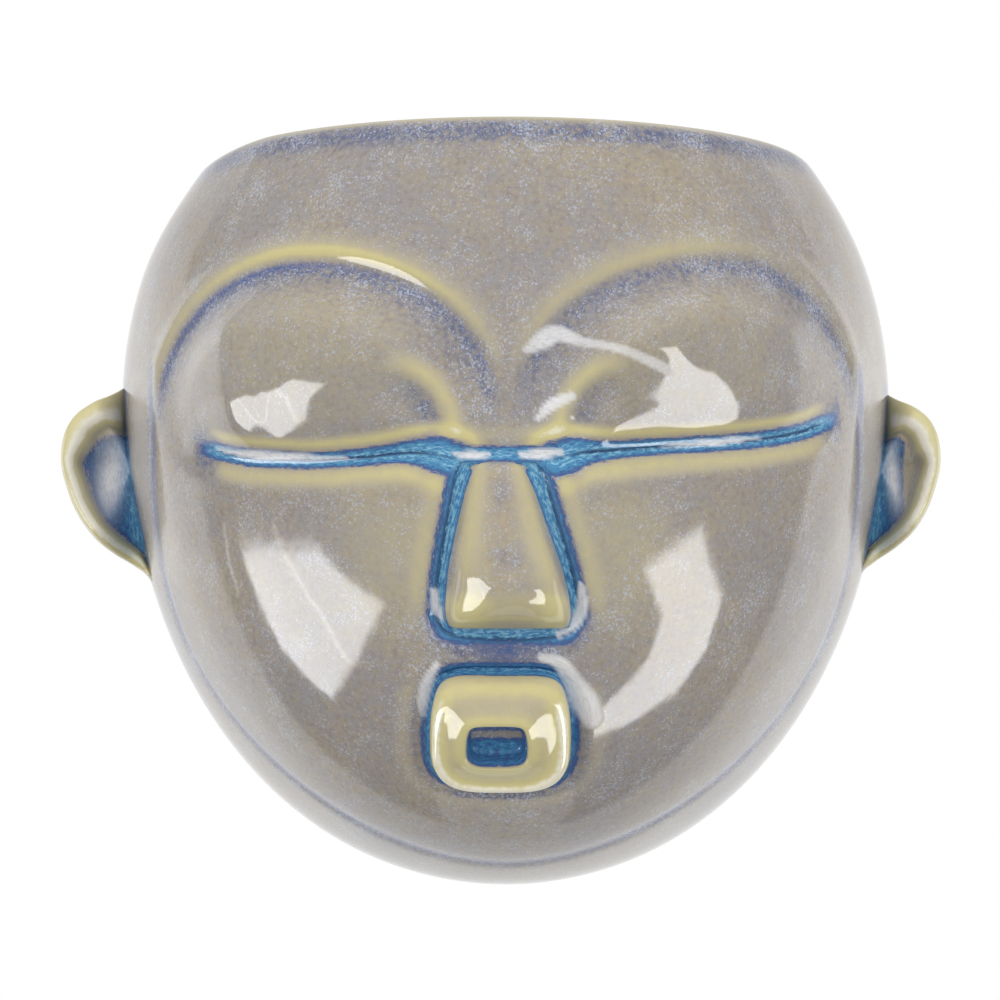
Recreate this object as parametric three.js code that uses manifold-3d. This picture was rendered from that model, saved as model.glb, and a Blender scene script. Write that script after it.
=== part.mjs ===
// Face wall planter: a glazed stoneware pocket in the shape of a mask, open at the top and flat at the back.
// Six clay pieces are luted together before firing: a cast face shell, a back wall, two ears, a nose and a mouth.
// Millimetres. The wall is the plane y = 0 and the face looks along -Y, with +Z up and +X to the viewer's right.
// The origin is the seat of the hanging screw, at the top of the keyhole, on the wall plane.
import * as THREE from "three";
import { mergeVertices } from "three/addons/utils/BufferGeometryUtils.js";
import Module from "manifold-3d";

const wasm = await Module();
wasm.setup();

// Head form. Heights of the head and of everything on the face are counted from its widest level.
const HEAD_HALF_WIDTH = 83.4;
const CHIN_DROP = 102.7; // widest level down to the chin
const CROWN_RISE = 88; // widest level up to where the sides would close, if no rim cut them off
const RIM_RISE = 54.7; // widest level up to the planting rim
const FACE_DEPTH = 92; // wall to face at the widest level
const RIM_DEPTH = 81; // wall to forehead at the rim
const CHIN_FULLNESS = 2.6; // 2 is an elliptical chin, more is a squarer one
const JAW_FULLNESS = 2.165; // the same for the outline from ear to ear
const CHEEK_TUCK = 0.9; // how much narrower the cheeks are than the widest level

// Clay thicknesses, joints and the hanging slot.
const POT_WALL = 5;
const LIP_RADIUS = 2.2;
const BACK_THICKNESS = 6;
const BACK_EDGE_RADIUS = 2.5;
const JOINT_GAP = 0.3; // between a luted piece and the curved face that it stands on
const SEAT_DROP = 20; // rim down to the seat of the screw
const SLOT_WIDTH = 5.2;
const SCREW_ENTRY = 11; // diameter of the round end that the screw's head goes through
const SLOT_TRAVEL = 11; // centre of the round end up to the seat

// Brows: each is the upper half of an ellipse, longer on the nose side, over a scooped eye socket.
// Its peak and its half widths are shares of the head's half width, and so are all places across the face.
const BROW_FOOT = -3;
const BROWS = [
  { side: -1, peak: 0.48, inner: 0.48, outer: 0.395, rise: 31.2 },
  { side: 1, peak: 0.53, inner: 0.53, outer: 0.335, rise: 32 },
];
const BROW_SCOOP = 1.1;
const BROW_SCOOP_WIDTH = 16;
const BROW_RIDGE = 0.6;
const BROW_RIDGE_WIDTH = 2.4;
// The scoop under a lid's inner corner, beside the bridge of the nose, is a smaller ellipse of the same kind.
const LID_CORNER = { peak: 0.24, inner: 0.1, foot: -8, rise: 12, scoop: 1.3, width: 9, ridge: 0.4 };
const LID_CORNER_FADE = 10;
// Lids: pillows that roll under to the eye slits, lower and tighter at their outer ends.
const LID = { inner: [9, 22], outer: [52, 68], span: 22, spanLoss: 10, fullness: 6.6, sink: 0.3, roll: 2.45 };

// Round-bottomed grooves. An eye's points are [share of the half width, height, share of the depth].
const GROOVE_RADIUS = 2.8;
const EYE_DEPTH = 1;
const EYES = [
  [[-0.76, -9.4, -1.5], [-0.67, -10.5, 0.7], [-0.56, -12], [-0.39, -12.3], [-0.215, -10.9], [-0.12, -12.2]],
  [[0.82, -3, -1.5], [0.71, -6.4, 0.8], [0.55, -8.6], [0.35, -9.8], [0.19, -10.8], [0.113, -12.2]],
];
const BRIDGE_HEIGHT = -11.3;
const BRIDGE_DEPTH = 1.3;
const MOAT_DEPTH = 1.4; // round the feet of the nose and mouth
const MOAT_OFFSET = 1.2; // foot to the middle of the moat
const JAW_DEPTH = 0.9;
const JAW_PLANE_AT_CHIN = 30; // the jaw line's distance from the wall at the chin
const JAW_PLANE_LEAN = 0.14; // how much further it stands from the wall for each millimetre up
const JAW_TOP = 4; // height where it runs into the brows

// Nose, from its bridge down: [height, half width at the foot, half width in front, how far it stands out].
const NOSE_X = -0.4;
const NOSE_SECTIONS = [
  [-13.2, 5.4, 3.2, 1.6],
  [-17.3, 7, 4.6, 3],
  [-27, 9.2, 6.6, 6.1],
  [-36.4, 11.1, 8.5, 9],
  [-40.8, 11.5, 9.1, 8.2],
  [-43.6, 11.3, 9.1, 5.2],
  [-44.9, 10.8, 8.8, 1.8],
];
const NOSE_ROOT = 7; // how far its sections go back, before the face cuts them

// Mouth: a rounded square block with a raised ring round a square hole. A section is [inset from the outline across,
// inset up and down, how far it stands out], from its foot over the border and the ring into the hole.
const MOUTH = { x: -1.1, height: -65, halfWidth: 13.7, halfHeight: 12.4, tilt: 24 };
const MOUTH_SECTIONS = [
  [0, 0, -9], [0, 0, 0.9], [0.7, 0.7, 3.5], [1.6, 1.6, 4.4], [3.9, 3.8, 4.6], [6.4, 6.1, 6.1], [7.3, 7, 6], [8.1, 7.8, 5],
  [8.6, 8.2, 1.6],
];
const MOUTH_SQUARENESS = 3.8;

// Ears: cups that open towards the viewer, with a rolled rim. Outline points are [out from the side, height].
const EARS = [
  { name: "ear_left", side: -1, reach: 1, length: 1 },
  { name: "ear_right", side: 1, reach: 0.87, length: 0.95 }, // a little smaller
];
const EAR_SIDE = 78;
const EAR_OUTLINE = [
  [-7, 3.5], [-2, 6.6], [2.4, 5.4], [5.7, 2.6], [9.5, 0.2], [13.1, -2.1], [15.2, -5.4], [16, -9.6], [15.9, -14.1],
  [14.9, -18.5], [12.6, -23.4], [9.5, -27.5], [5.9, -31], [1.8, -34], [-2.2, -36.6], [-7, -35.5], [-10, -27],
  [-11, -14], [-10, -2],
];
const EAR_MIDDLE = [1.5, -13.5];
// From the back of an ear over its rim to the floor of its cup: [inset, share of the way to its middle, wall to there].
const EAR_SECTIONS = [
  [9.5, 0, 8.6], [4.6, 0, 13], [2, 0, 18.5], [0.5, 0, 23.5], [0, 0, 26.8], [0.35, 0, 29.2], [1.1, 0, 30.7], [2, 0, 31],
  [2.8, 0, 30.3], [3.3, 0, 28.6], [4, 0, 23.4], [4.6, 0.1, 21], [4.6, 0.55, 19.6],
];
const EAR_RIM_ROW = 6; // from this section on, the rim is wider at the top
const EAR_CUP_ROW = 10; // from this section on, the floor rises towards the head
const EAR_BACK = 8.6;
const EAR_STEPS = 36;

// Facets.
const COLUMNS = 56;
const COLUMN_CROWDING = 0.35; // 0 spreads the columns evenly, more crowds them towards the nose
const FACE_ROW = 2.9;
const FOREHEAD_ROW = 4.6;
const CHIN_ROWS = 8;
const FACE_LOW = -82;
const FACE_HIGH = 32;
const CAVITY_COLUMNS = 26;
const CAVITY_ROW = 8;
const OUTLINE_STEPS = 60;
const RING_STEPS = 24;
const LIP_STEPS = 3;
const TUBE_SIDES = 8;
const TUBE_STEP = 5;

const WIDEST_Z = SEAT_DROP - RIM_RISE;
const glaze = new THREE.MeshStandardMaterial({ color: 0xa79f90, roughness: 0.12, metalness: 0 });
const glazeOnRelief = new THREE.MeshStandardMaterial({ color: 0xc3ba8c, roughness: 0.12, metalness: 0 });

// Head form: half width and depth at a height, for the outer face or one grown by an offset.
const smooth = THREE.MathUtils.smoothstep;

function halfWidth(height, grow = 0) {
  if (height >= 0) return (HEAD_HALF_WIDTH + grow) * Math.sqrt(Math.max(0, 1 - (height / CROWN_RISE) ** 2));
  const widest = HEAD_HALF_WIDTH + grow - CHEEK_TUCK * smooth(-height, 5, 40);
  return widest * Math.max(0, 1 - (height / (CHIN_DROP + grow)) ** 2) ** (1 / JAW_FULLNESS);
}

function depth(height, grow = 0) {
  if (height >= 0) return FACE_DEPTH + grow - (FACE_DEPTH - RIM_DEPTH) * (height / RIM_RISE) ** 2;
  const below = Math.min(1, -height / (CHIN_DROP + grow)) ** CHIN_FULLNESS;
  return (FACE_DEPTH + grow) * (1 - below) ** (1 / CHIN_FULLNESS);
}

// A point of the plain head, where angle runs from the right side at 0, past the nose, to the left side at PI.
function headPoint(angle, height, grow = 0) {
  return new THREE.Vector3(
    halfWidth(height, grow) * Math.cos(angle),
    -depth(height, grow) * Math.sin(angle),
    height + WIDEST_Z,
  );
}

// The point of the plain head in front of [x, height], and the way out of the clay there.
function frontPoint(x, height) {
  const share = THREE.MathUtils.clamp(x / halfWidth(height), -1, 1);
  return headPoint(Math.acos(share), height);
}

function wayOut(angle, height) {
  const step = 0.01;
  const across = headPoint(angle - step, height).sub(headPoint(angle + step, height));
  const low = Math.max(height - step, -CHIN_DROP);
  const up = headPoint(angle, height + step).sub(headPoint(angle, low));
  return across.cross(up).normalize();
}

function frontWayOut(x, height) {
  const share = THREE.MathUtils.clamp(x / halfWidth(height), -1, 1);
  return wayOut(Math.acos(share), height);
}

// How far a point lies inside a socket, the half ellipse round [peak, foot] with its own half width on the nose side,
// and how much of the socket's rim is there.
function insideSocket(point, out, { side, peak, inner, outer, foot, rise }) {
  const dx = point.x * side - peak * HEAD_HALF_WIDTH;
  const dz = point.z - WIDEST_Z - foot;
  const half = (dx < 0 ? inner : outer) * HEAD_HALF_WIDTH;
  const value = Math.hypot(dx / half, dz / rise);
  const slope = new THREE.Vector3((side * dx) / half ** 2, 0, dz / rise ** 2).divideScalar(Math.max(value, 1e-6));
  slope.addScaledVector(out, -slope.dot(out));
  return [(1 - value) / Math.max(slope.length(), 1e-6), smooth(dz, -0.2 * rise, 0.35 * rise)];
}

// Relief of a socket's rim: a rounded ridge, then a drop that fills out again towards the socket's middle.
function rimRelief([inside, along], { scoop, width, ridge }) {
  const drop = smooth(inside, -1, 3.4) * (1 - smooth(inside, 3.4, width));
  const lip = Math.exp(-(((inside + BROW_RIDGE_WIDTH) / BROW_RIDGE_WIDTH) ** 2));
  return along * (ridge * lip - scoop * drop);
}

// Height of an eye slit at a place across the face.
function slitHeight(side, x) {
  const points = EYES[side < 0 ? 0 : 1].map(([across, height]) => [Math.abs(across) * HEAD_HALF_WIDTH, height]).reverse();
  if (x <= points[0][0]) return points[0][1];
  for (let i = 0; i + 1 < points.length; i++) {
    const [[x0, h0], [x1, h1]] = [points[i], points[i + 1]];
    if (x <= x1) return h0 + ((h1 - h0) * (x - x0)) / (x1 - x0);
  }
  return points.at(-1)[1];
}

function lidRelief(point, side, inside) {
  const x = point.x * side;
  const above = point.z - WIDEST_Z - slitHeight(side, x);
  const across = smooth(x, ...LID.inner) * (1 - smooth(x, ...LID.outer));
  const span = LID.span - LID.spanLoss * smooth(x, 36, 58);
  const full = (LID.fullness * span) / LID.span;
  const up = THREE.MathUtils.clamp((above + Math.hypot(above, LID.roll)) / 2 / span, 0, 1);
  const pillow = full * (1 - (1 - up) ** 2.4) * smooth(inside, 0.5, 15);
  return across * (pillow - LID.sink * full * smooth(above, -6, -1.5) * (1 - smooth(above, 8, 24)));
}

function relief(point, out) {
  let height = 0;
  for (const brow of BROWS) {
    const x = point.x * brow.side;
    if (x <= 0) continue;
    const socket = insideSocket(point, out, { ...brow, foot: BROW_FOOT });
    height += rimRelief(socket, { scoop: BROW_SCOOP, width: BROW_SCOOP_WIDTH, ridge: BROW_RIDGE });
    height += lidRelief(point, brow.side, socket[0]);
    const corner = { ...LID_CORNER, side: brow.side, outer: LID_CORNER.peak };
    const cornerEnd = LID_CORNER.peak * HEAD_HALF_WIDTH;
    const fade = 1 - smooth(x, cornerEnd - 0.4 * LID_CORNER_FADE, cornerEnd + 0.6 * LID_CORNER_FADE);
    height += fade * rimRelief(insideSocket(point, out, corner), corner);
  }
  return height;
}

// Solids. A loft joins rings of equally many points. It closes its two ends with fans about their middles,
// unless it runs round to its own first ring.
function loft(rings, round = false) {
  const count = rings[0].length;
  const points = rings.flat();
  const triangles = [];
  for (let r = 0; r + 1 < rings.length + (round ? 1 : 0); r++) {
    const next = (r + 1) % rings.length;
    for (let i = 0; i < count; i++) {
      const j = (i + 1) % count;
      const [a, b, c, d] = [r * count + i, r * count + j, next * count + j, next * count + i];
      // The shorter diagonal runs along a ridge and not across it.
      if (points[a].distanceTo(points[c]) < points[b].distanceTo(points[d])) triangles.push(a, b, c, a, c, d);
      else triangles.push(a, b, d, b, c, d);
    }
  }
  const ends = round ? [] : [[0, true], [rings.length - 1, false]];
  for (const [r, flip] of ends) {
    const middle = new THREE.Vector3();
    rings[r].forEach((p) => middle.addScaledVector(p, 1 / count));
    points.push(middle);
    for (let i = 0; i < count; i++) {
      const edge = [r * count + i, r * count + ((i + 1) % count)];
      triangles.push(...(flip ? edge.reverse() : edge), points.length - 1);
    }
  }
  return solid(new THREE.BufferGeometry().setFromPoints(points).setIndex(triangles));
}

// A closed geometry as a solid that can be joined and cut, whichever way its faces were wound.
function solid(geometry) {
  const bare = geometry.clone();
  bare.deleteAttribute("normal");
  bare.deleteAttribute("uv");
  const merged = mergeVertices(bare, 1e-4);
  const corners = [];
  const index = merged.index.array;
  for (let i = 0; i < index.length; i += 3) {
    const [a, b, c] = index.slice(i, i + 3);
    if (a !== b && b !== c && c !== a) corners.push(a, b, c);
  }
  const made = (triVerts) =>
    new wasm.Manifold(
      new wasm.Mesh({
        numProp: 3,
        vertProperties: new Float32Array(merged.attributes.position.array),
        triVerts: new Uint32Array(triVerts),
      }),
    );
  const first = made(corners);
  if (first.volume() > 0) return first;
  const turned = [];
  for (let i = 0; i < corners.length; i += 3) turned.push(corners[i], corners[i + 2], corners[i + 1]);
  return made(turned);
}

function mesh(name, manifold, material) {
  const made = manifold.getMesh();
  const geometry = new THREE.BufferGeometry();
  geometry.setAttribute("position", new THREE.BufferAttribute(new Float32Array(made.vertProperties), 3));
  geometry.setIndex(new THREE.BufferAttribute(new Uint32Array(made.triVerts), 1));
  geometry.computeVertexNormals();
  const node = new THREE.Mesh(geometry, material);
  node.name = name;
  return node;
}

// A round cutter along a route over the face, whose ways out keep its sections from twisting.
function tube(route, waysOut, round) {
  const path = new THREE.CatmullRomCurve3(route, round);
  const ways = new THREE.CatmullRomCurve3(waysOut, round);
  const steps = Math.ceil(path.getLength() / TUBE_STEP);
  const rings = [];
  for (let i = 0; i < (round ? steps : steps + 1); i++) {
    const at = path.getPoint(i / steps);
    const along = path.getTangent(i / steps);
    const out = ways.getPoint(i / steps);
    out.addScaledVector(along, -out.dot(along)).normalize();
    const across = along.clone().cross(out);
    const ring = [];
    for (let k = 0; k < TUBE_SIDES; k++) {
      const turn = (2 * Math.PI * k) / TUBE_SIDES;
      const spoke = out.clone().multiplyScalar(Math.cos(turn)).addScaledVector(across, Math.sin(turn));
      ring.push(at.clone().addScaledVector(spoke, GROOVE_RADIUS));
    }
    rings.push(ring);
  }
  return loft(rings, round);
}

// Face shell.
function columnAngles(columns, crowding) {
  const angles = [];
  for (let i = 0; i <= columns; i++) {
    const s = (2 * i) / columns - 1;
    angles.push((Math.PI / 2) * (1 + s * (1 - crowding) + crowding * s ** 3));
  }
  return angles;
}

function headLevels() {
  const levels = [];
  const lowest = Math.asin(FACE_LOW / CHIN_DROP);
  for (let i = 1; i < CHIN_ROWS; i++) {
    const turn = -Math.PI / 2 + ((lowest + Math.PI / 2) * i) / CHIN_ROWS;
    levels.push(CHIN_DROP * Math.sin(turn));
  }
  const bands = [[FACE_LOW, FACE_HIGH, FACE_ROW], [FACE_HIGH, RIM_RISE - LIP_RADIUS, FOREHEAD_ROW]];
  for (const [from, to, row] of bands) {
    const rows = Math.round((to - from) / row);
    for (let i = 0; i < rows; i++) levels.push(from + ((to - from) * i) / rows);
  }
  return levels;
}

// The head as a solid block with a flat back on the wall, with its relief, grown by an offset.
function headBlock(grow = 0) {
  const angles = columnAngles(COLUMNS, COLUMN_CROWDING);
  const rings = headLevels().map((height) =>
    angles.map((angle) => {
      const point = headPoint(angle, height);
      const out = wayOut(angle, height);
      return point.addScaledVector(out, grow + relief(point, out));
    }),
  );
  rings.unshift(angles.map(() => new THREE.Vector3(0, 0, WIDEST_Z - CHIN_DROP - grow)));
  for (let i = 0; i <= LIP_STEPS; i++) {
    const turn = ((Math.PI / 2) * i) / LIP_STEPS;
    const height = RIM_RISE - LIP_RADIUS * (1 - Math.sin(turn));
    rings.push(angles.map((angle) => headPoint(angle, height, grow - LIP_RADIUS * (1 - Math.cos(turn)))));
  }
  return loft(rings);
}

// The planting hollow, which runs out through the rim with a rounded inner lip.
function cavityBlock() {
  const angles = columnAngles(CAVITY_COLUMNS, 0);
  const rings = [];
  const lowest = -CHIN_DROP + POT_WALL;
  const rows = Math.round((RIM_RISE - LIP_RADIUS - lowest) / CAVITY_ROW);
  for (let i = 0; i < rows; i++) {
    const turn = -Math.PI / 2 + ((Math.PI / 2) * i) / rows;
    rings.push(angles.map((angle) => headPoint(angle, -lowest * Math.sin(turn), -POT_WALL)));
  }
  const upper = Math.round((RIM_RISE - LIP_RADIUS) / CAVITY_ROW);
  for (let i = 0; i < upper; i++) {
    const height = ((RIM_RISE - LIP_RADIUS) * i) / upper;
    rings.push(angles.map((angle) => headPoint(angle, height, -POT_WALL)));
  }
  for (let i = 0; i <= LIP_STEPS; i++) {
    const turn = ((Math.PI / 2) * i) / LIP_STEPS;
    const height = RIM_RISE - LIP_RADIUS * (1 - Math.sin(turn));
    const flare = LIP_RADIUS * (1 - Math.cos(turn)) - POT_WALL;
    rings.push(angles.map((angle) => headPoint(angle, height, flare)));
  }
  rings.push(rings.at(-1).map((p) => p.clone().setZ(p.z + LIP_RADIUS)));
  return loft(rings);
}

// Everything nearer the viewer than a plane parallel to the wall.
function inFrontOf(y) {
  const reach = 2 * (HEAD_HALF_WIDTH + CHIN_DROP + FACE_DEPTH);
  const square = (at) =>
    [[1, 1], [1, -1], [-1, -1], [-1, 1]].map(([x, z]) => new THREE.Vector3(x * reach, at, z * reach));
  return loft([square(y), square(y - reach)]);
}

// A groove of a given depth along points of the face, each [x, height, share of the depth].
function groove(points, grooveDepth, round = false) {
  const waysOut = points.map(([x, height]) => frontWayOut(x, height));
  const route = points.map(([x, height, share = 1], i) => {
    const at = frontPoint(x, height);
    const rise = relief(at, waysOut[i]) + GROOVE_RADIUS - grooveDepth * share;
    return at.addScaledVector(waysOut[i], rise);
  });
  return tube(route, waysOut, round);
}

// The jaw line lies in a plane that leans away from the wall, from one brow's foot round the chin to the other's.
function jawLine() {
  const standOff = (height) => JAW_PLANE_AT_CHIN + JAW_PLANE_LEAN * (height + CHIN_DROP);
  const chin = lowestOnJaw(standOff);
  const route = [];
  const steps = 24;
  for (let i = 0; i <= steps; i++) {
    const s = (2 * i) / steps - 1;
    const height = JAW_TOP - (JAW_TOP - chin) * Math.cos((s * Math.PI) / 2);
    const share = Math.min(1, standOff(height) / depth(height));
    const side = Math.sign(s);
    route.push([side * halfWidth(height) * Math.sqrt(1 - share ** 2), height]);
  }
  return groove(route, JAW_DEPTH);
}

// The height on the chin's profile that stands off the wall just as far as the jaw line does.
function lowestOnJaw(standOff) {
  let low = -CHIN_DROP;
  let high = 0;
  for (let i = 0; i < 40; i++) {
    const middle = (low + high) / 2;
    if (depth(middle) < standOff(middle)) low = middle;
    else high = middle;
  }
  return high;
}

function noseMoats() {
  const down = NOSE_SECTIONS.slice(1, -1).map(([height, foot]) => [NOSE_X + foot + MOAT_OFFSET, height]);
  const up = down.map(([x, height]) => [2 * NOSE_X - x, height]);
  const bottom = NOSE_SECTIONS.at(-1)[0] - MOAT_OFFSET;
  const half = NOSE_SECTIONS.at(-1)[1];
  const under = [[NOSE_X - half, bottom], [NOSE_X, bottom], [NOSE_X + half, bottom]];
  return [down, up, under].map((points) => groove(points, MOAT_DEPTH));
}

function mouthMoat() {
  const lift = Math.cos(THREE.MathUtils.degToRad(MOUTH.tilt));
  const points = superellipse(
    MOUTH.halfWidth + MOAT_OFFSET,
    MOUTH.halfHeight + MOAT_OFFSET,
    MOUTH_SQUARENESS,
    RING_STEPS,
  ).map(([x, z]) => [MOUTH.x + x, MOUTH.height + z * lift]);
  return groove(points, MOAT_DEPTH, true);
}

function superellipse(a, b, squareness, steps) {
  const points = [];
  for (let i = 0; i < steps; i++) {
    const turn = (2 * Math.PI * i) / steps;
    const [c, s] = [Math.cos(turn), Math.sin(turn)];
    points.push([
      a * Math.sign(c) * Math.abs(c) ** (2 / squareness),
      b * Math.sign(s) * Math.abs(s) ** (2 / squareness),
    ]);
  }
  return points;
}

function faceShell() {
  const bridgeHalf = NOSE_SECTIONS[0][1] + 2 * MOAT_OFFSET;
  const bridge = [-bridgeHalf, 0, bridgeHalf].map((x) => [NOSE_X + x, BRIDGE_HEIGHT]);
  const grooves = [
    ...EYES.map((points) =>
      groove(points.map(([across, ...rest]) => [across * HEAD_HALF_WIDTH, ...rest]), EYE_DEPTH),
    ),
    groove(bridge, BRIDGE_DEPTH),
    ...noseMoats(),
    mouthMoat(),
    jawLine(),
  ];
  let shell = headBlock().subtract(cavityBlock()).intersect(inFrontOf(-BACK_THICKNESS));
  for (const cutter of grooves) shell = shell.subtract(cutter);
  return shell;
}

// Back wall: a slab with the head's outline, rounded at its rear edge and rim, with a keyhole for a screw.
function backRing(y, inset, rimInset) {
  const ring = [];
  const rim = RIM_RISE - rimInset;
  const top = Math.asin(rim / CROWN_RISE);
  for (let i = 0; i <= OUTLINE_STEPS; i++) {
    const s = (2 * i) / OUTLINE_STEPS - 1;
    const turn = -Math.PI / 2 + Math.abs(s) * (top + Math.PI / 2);
    const height = turn < 0 ? (CHIN_DROP - inset) * Math.sin(turn) : CROWN_RISE * Math.sin(turn);
    ring.push(new THREE.Vector3(Math.sign(s) * halfWidth(height, -inset), y, height + WIDEST_Z));
  }
  return ring;
}

function backWall() {
  const r = BACK_EDGE_RADIUS;
  const rings = [];
  for (let i = 0; i <= LIP_STEPS; i++) {
    const turn = ((Math.PI / 2) * i) / LIP_STEPS;
    rings.push(backRing(-BACK_THICKNESS + r * Math.sin(turn), 0, r * (1 - Math.sin(turn))));
  }
  for (let i = 0; i <= LIP_STEPS; i++) {
    const turn = ((Math.PI / 2) * i) / LIP_STEPS;
    const inset = r * (1 - Math.cos(turn));
    rings.push(backRing(-r + r * Math.sin(turn), inset, inset));
  }
  return loft(rings).subtract(keyhole());
}

function keyhole() {
  const outline = new THREE.Shape();
  const lean = Math.asin(SLOT_WIDTH / SCREW_ENTRY);
  outline.absarc(0, 0, SLOT_WIDTH / 2, 0, Math.PI);
  outline.absarc(0, -SLOT_TRAVEL, SCREW_ENTRY / 2, Math.PI / 2 + lean, Math.PI / 2 - lean + 2 * Math.PI);
  const thick = 3 * BACK_THICKNESS;
  const cutter = new THREE.ExtrudeGeometry(outline, { depth: thick, bevelEnabled: false, curveSegments: 10 });
  return solid(cutter.translate(0, 0, -thick / 2).rotateX(Math.PI / 2));
}

// Nose: a wedge lofted down the face, cut behind by the face with a luting gap.
function nose() {
  const rings = NOSE_SECTIONS.map(([height, foot, front, stands]) => {
    const base = frontPoint(NOSE_X, height).y;
    const profile = [
      [foot, 0], [foot * 0.98, stands * 0.3], [front + (foot - front) * 0.4, stands * 0.78],
      [front * 0.8, stands * 0.97], [0, stands],
    ];
    const right = [[foot, -NOSE_ROOT], ...profile];
    const left = right.slice(0, -1).reverse().map(([x, out]) => [-x, out]);
    return [...right, ...left].map(([x, out]) => new THREE.Vector3(NOSE_X + x, base - out, height + WIDEST_Z));
  });
  return loft(rings);
}

// Mouth: rounded squares stacked outwards to a border and a ring, then down into the hole.
function mouth() {
  const centre = frontPoint(MOUTH.x, MOUTH.height);
  const rings = MOUTH_SECTIONS.map(([across, upDown, out]) =>
    superellipse(MOUTH.halfWidth - across, MOUTH.halfHeight - upDown, MOUTH_SQUARENESS, RING_STEPS).map(([x, z]) =>
      new THREE.Vector3(x, -out, z)
        .applyAxisAngle(new THREE.Vector3(1, 0, 0), THREE.MathUtils.degToRad(MOUTH.tilt))
        .add(centre),
    ),
  );
  return loft(rings);
}

// Ear: leaf-shaped outlines stacked forwards into a cup, whose rim sinks back where it meets the head.
function ear({ side, reach, length }) {
  const curve = new THREE.CatmullRomCurve3(
    EAR_OUTLINE.map(([x, height]) => {
      const z = (height - EAR_MIDDLE[1]) * length + EAR_MIDDLE[1];
      return new THREE.Vector3(x > 0 ? x * reach : x, 0, z);
    }),
    true,
    "catmullrom",
  );
  const outline = [];
  for (let i = 0; i < EAR_STEPS; i++) outline.push(curve.getPoint(i / EAR_STEPS));
  const rings = EAR_SECTIONS.map(([inset, share, standOff], row) =>
    outline.map((at) => {
      const [dx, dz] = [at.x - EAR_MIDDLE[0], at.z - EAR_MIDDLE[1]];
      const radius = Math.hypot(dx, dz);
      const root = 1 - smooth(at.x, 1, 10);
      const wider = row > EAR_RIM_ROW ? smooth(dz / radius, 0.1, 0.6) * (0.6 + 1.2 * root) : 0;
      const left = (Math.max(0, radius - inset * (1 + wider)) * (1 - share)) / radius;
      const [x, z] = [EAR_MIDDLE[0] + dx * left, EAR_MIDDLE[1] + dz * left];
      const rise = row > EAR_CUP_ROW ? 0.5 * THREE.MathUtils.clamp(9 - x, 0, 16) : 0;
      const off = standOff - 0.34 * root * (standOff - EAR_BACK) + rise;
      return new THREE.Vector3(side * (EAR_SIDE + x), -off, z + WIDEST_Z);
    }),
  );
  return loft(rings);
}

const planter = new THREE.Group();
planter.name = "face_wall_planter";
const headWithGap = headBlock(JOINT_GAP);
planter.add(mesh("face_shell", faceShell(), glaze));
planter.add(mesh("back_wall", backWall(), glaze));
planter.add(mesh("nose", nose().subtract(headWithGap), glazeOnRelief));
planter.add(mesh("mouth", mouth().subtract(headWithGap), glazeOnRelief));
for (const one of EARS) planter.add(mesh(one.name, ear(one).subtract(headWithGap), glazeOnRelief));

export default planter;
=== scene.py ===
import math

import bmesh
import bpy
import numpy as np
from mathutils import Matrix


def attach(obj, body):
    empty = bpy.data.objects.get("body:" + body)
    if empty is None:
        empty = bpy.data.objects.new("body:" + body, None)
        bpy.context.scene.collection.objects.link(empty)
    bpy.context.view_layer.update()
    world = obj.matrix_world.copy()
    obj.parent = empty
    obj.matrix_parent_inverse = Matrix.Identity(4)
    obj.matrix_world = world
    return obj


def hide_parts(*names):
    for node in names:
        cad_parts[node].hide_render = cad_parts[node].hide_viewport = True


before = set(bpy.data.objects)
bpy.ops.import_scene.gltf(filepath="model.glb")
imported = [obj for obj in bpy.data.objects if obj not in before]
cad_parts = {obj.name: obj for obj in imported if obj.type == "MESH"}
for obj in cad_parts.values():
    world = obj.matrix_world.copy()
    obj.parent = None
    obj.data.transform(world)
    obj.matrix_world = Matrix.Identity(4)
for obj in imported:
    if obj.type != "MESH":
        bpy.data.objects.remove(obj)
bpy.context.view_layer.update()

# Face shell: the cast half head that holds the soil, with brows, eye slits and a jaw line pressed into it.
# It is stoneware about 5 mm thick with a rolled rim, under a glossy reactive glaze that runs thin and yellow
# over edges and pools blue in every hollow. Its open back is luted to the flat back wall.
HEAD_HALF_WIDTH = 83.4  # millimetres, as are all sizes here until a mesh is made
CHIN_DROP = 102.7
CROWN_RISE = 88.0
RIM_RISE = 54.7
FACE_DEPTH = 92.0
RIM_DEPTH = 81.0
CHIN_FULLNESS = 2.6
CHEEK_TUCK = 0.9
JAW_FULLNESS = 2.165
RIM_DIP = 1.5  # the rim sags this far at the sides
LEFT_SHOULDER = 1.4  # and a little more at its left end
POT_WALL = 5.0
LIP_RADIUS = 2.2
BACK_THICKNESS = 6.0
WIDEST_Z = 20.0 - RIM_RISE  # heights below are counted from the head's widest level
MILLIMETRE = 0.001


def ease(value, low, high):
    share = np.clip((value - low) / (high - low), 0.0, 1.0)
    return share * share * (3.0 - 2.0 * share)


def bump(value, middle, width):
    return np.exp(-(((value - middle) / width) ** 2))


def half_width(height, grow=0.0):
    span = np.where(height < 0, CHIN_DROP + grow, CROWN_RISE)
    power = np.where(height < 0, 1 / JAW_FULLNESS, 0.5)
    widest = HEAD_HALF_WIDTH + grow - CHEEK_TUCK * ease(-height, 5.0, 40.0)
    return widest * np.clip(1.0 - (height / span) ** 2, 0.0, 1.0) ** power


def head_depth(height, grow=0.0):
    below = np.clip(-height / (CHIN_DROP + grow), 0.0, 1.0) ** CHIN_FULLNESS
    chin = (FACE_DEPTH + grow) * (1.0 - below) ** (1.0 / CHIN_FULLNESS)
    brow = FACE_DEPTH + grow - (FACE_DEPTH - RIM_DEPTH) * (height / RIM_RISE) ** 2
    return np.where(height < 0, chin, brow)


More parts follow.
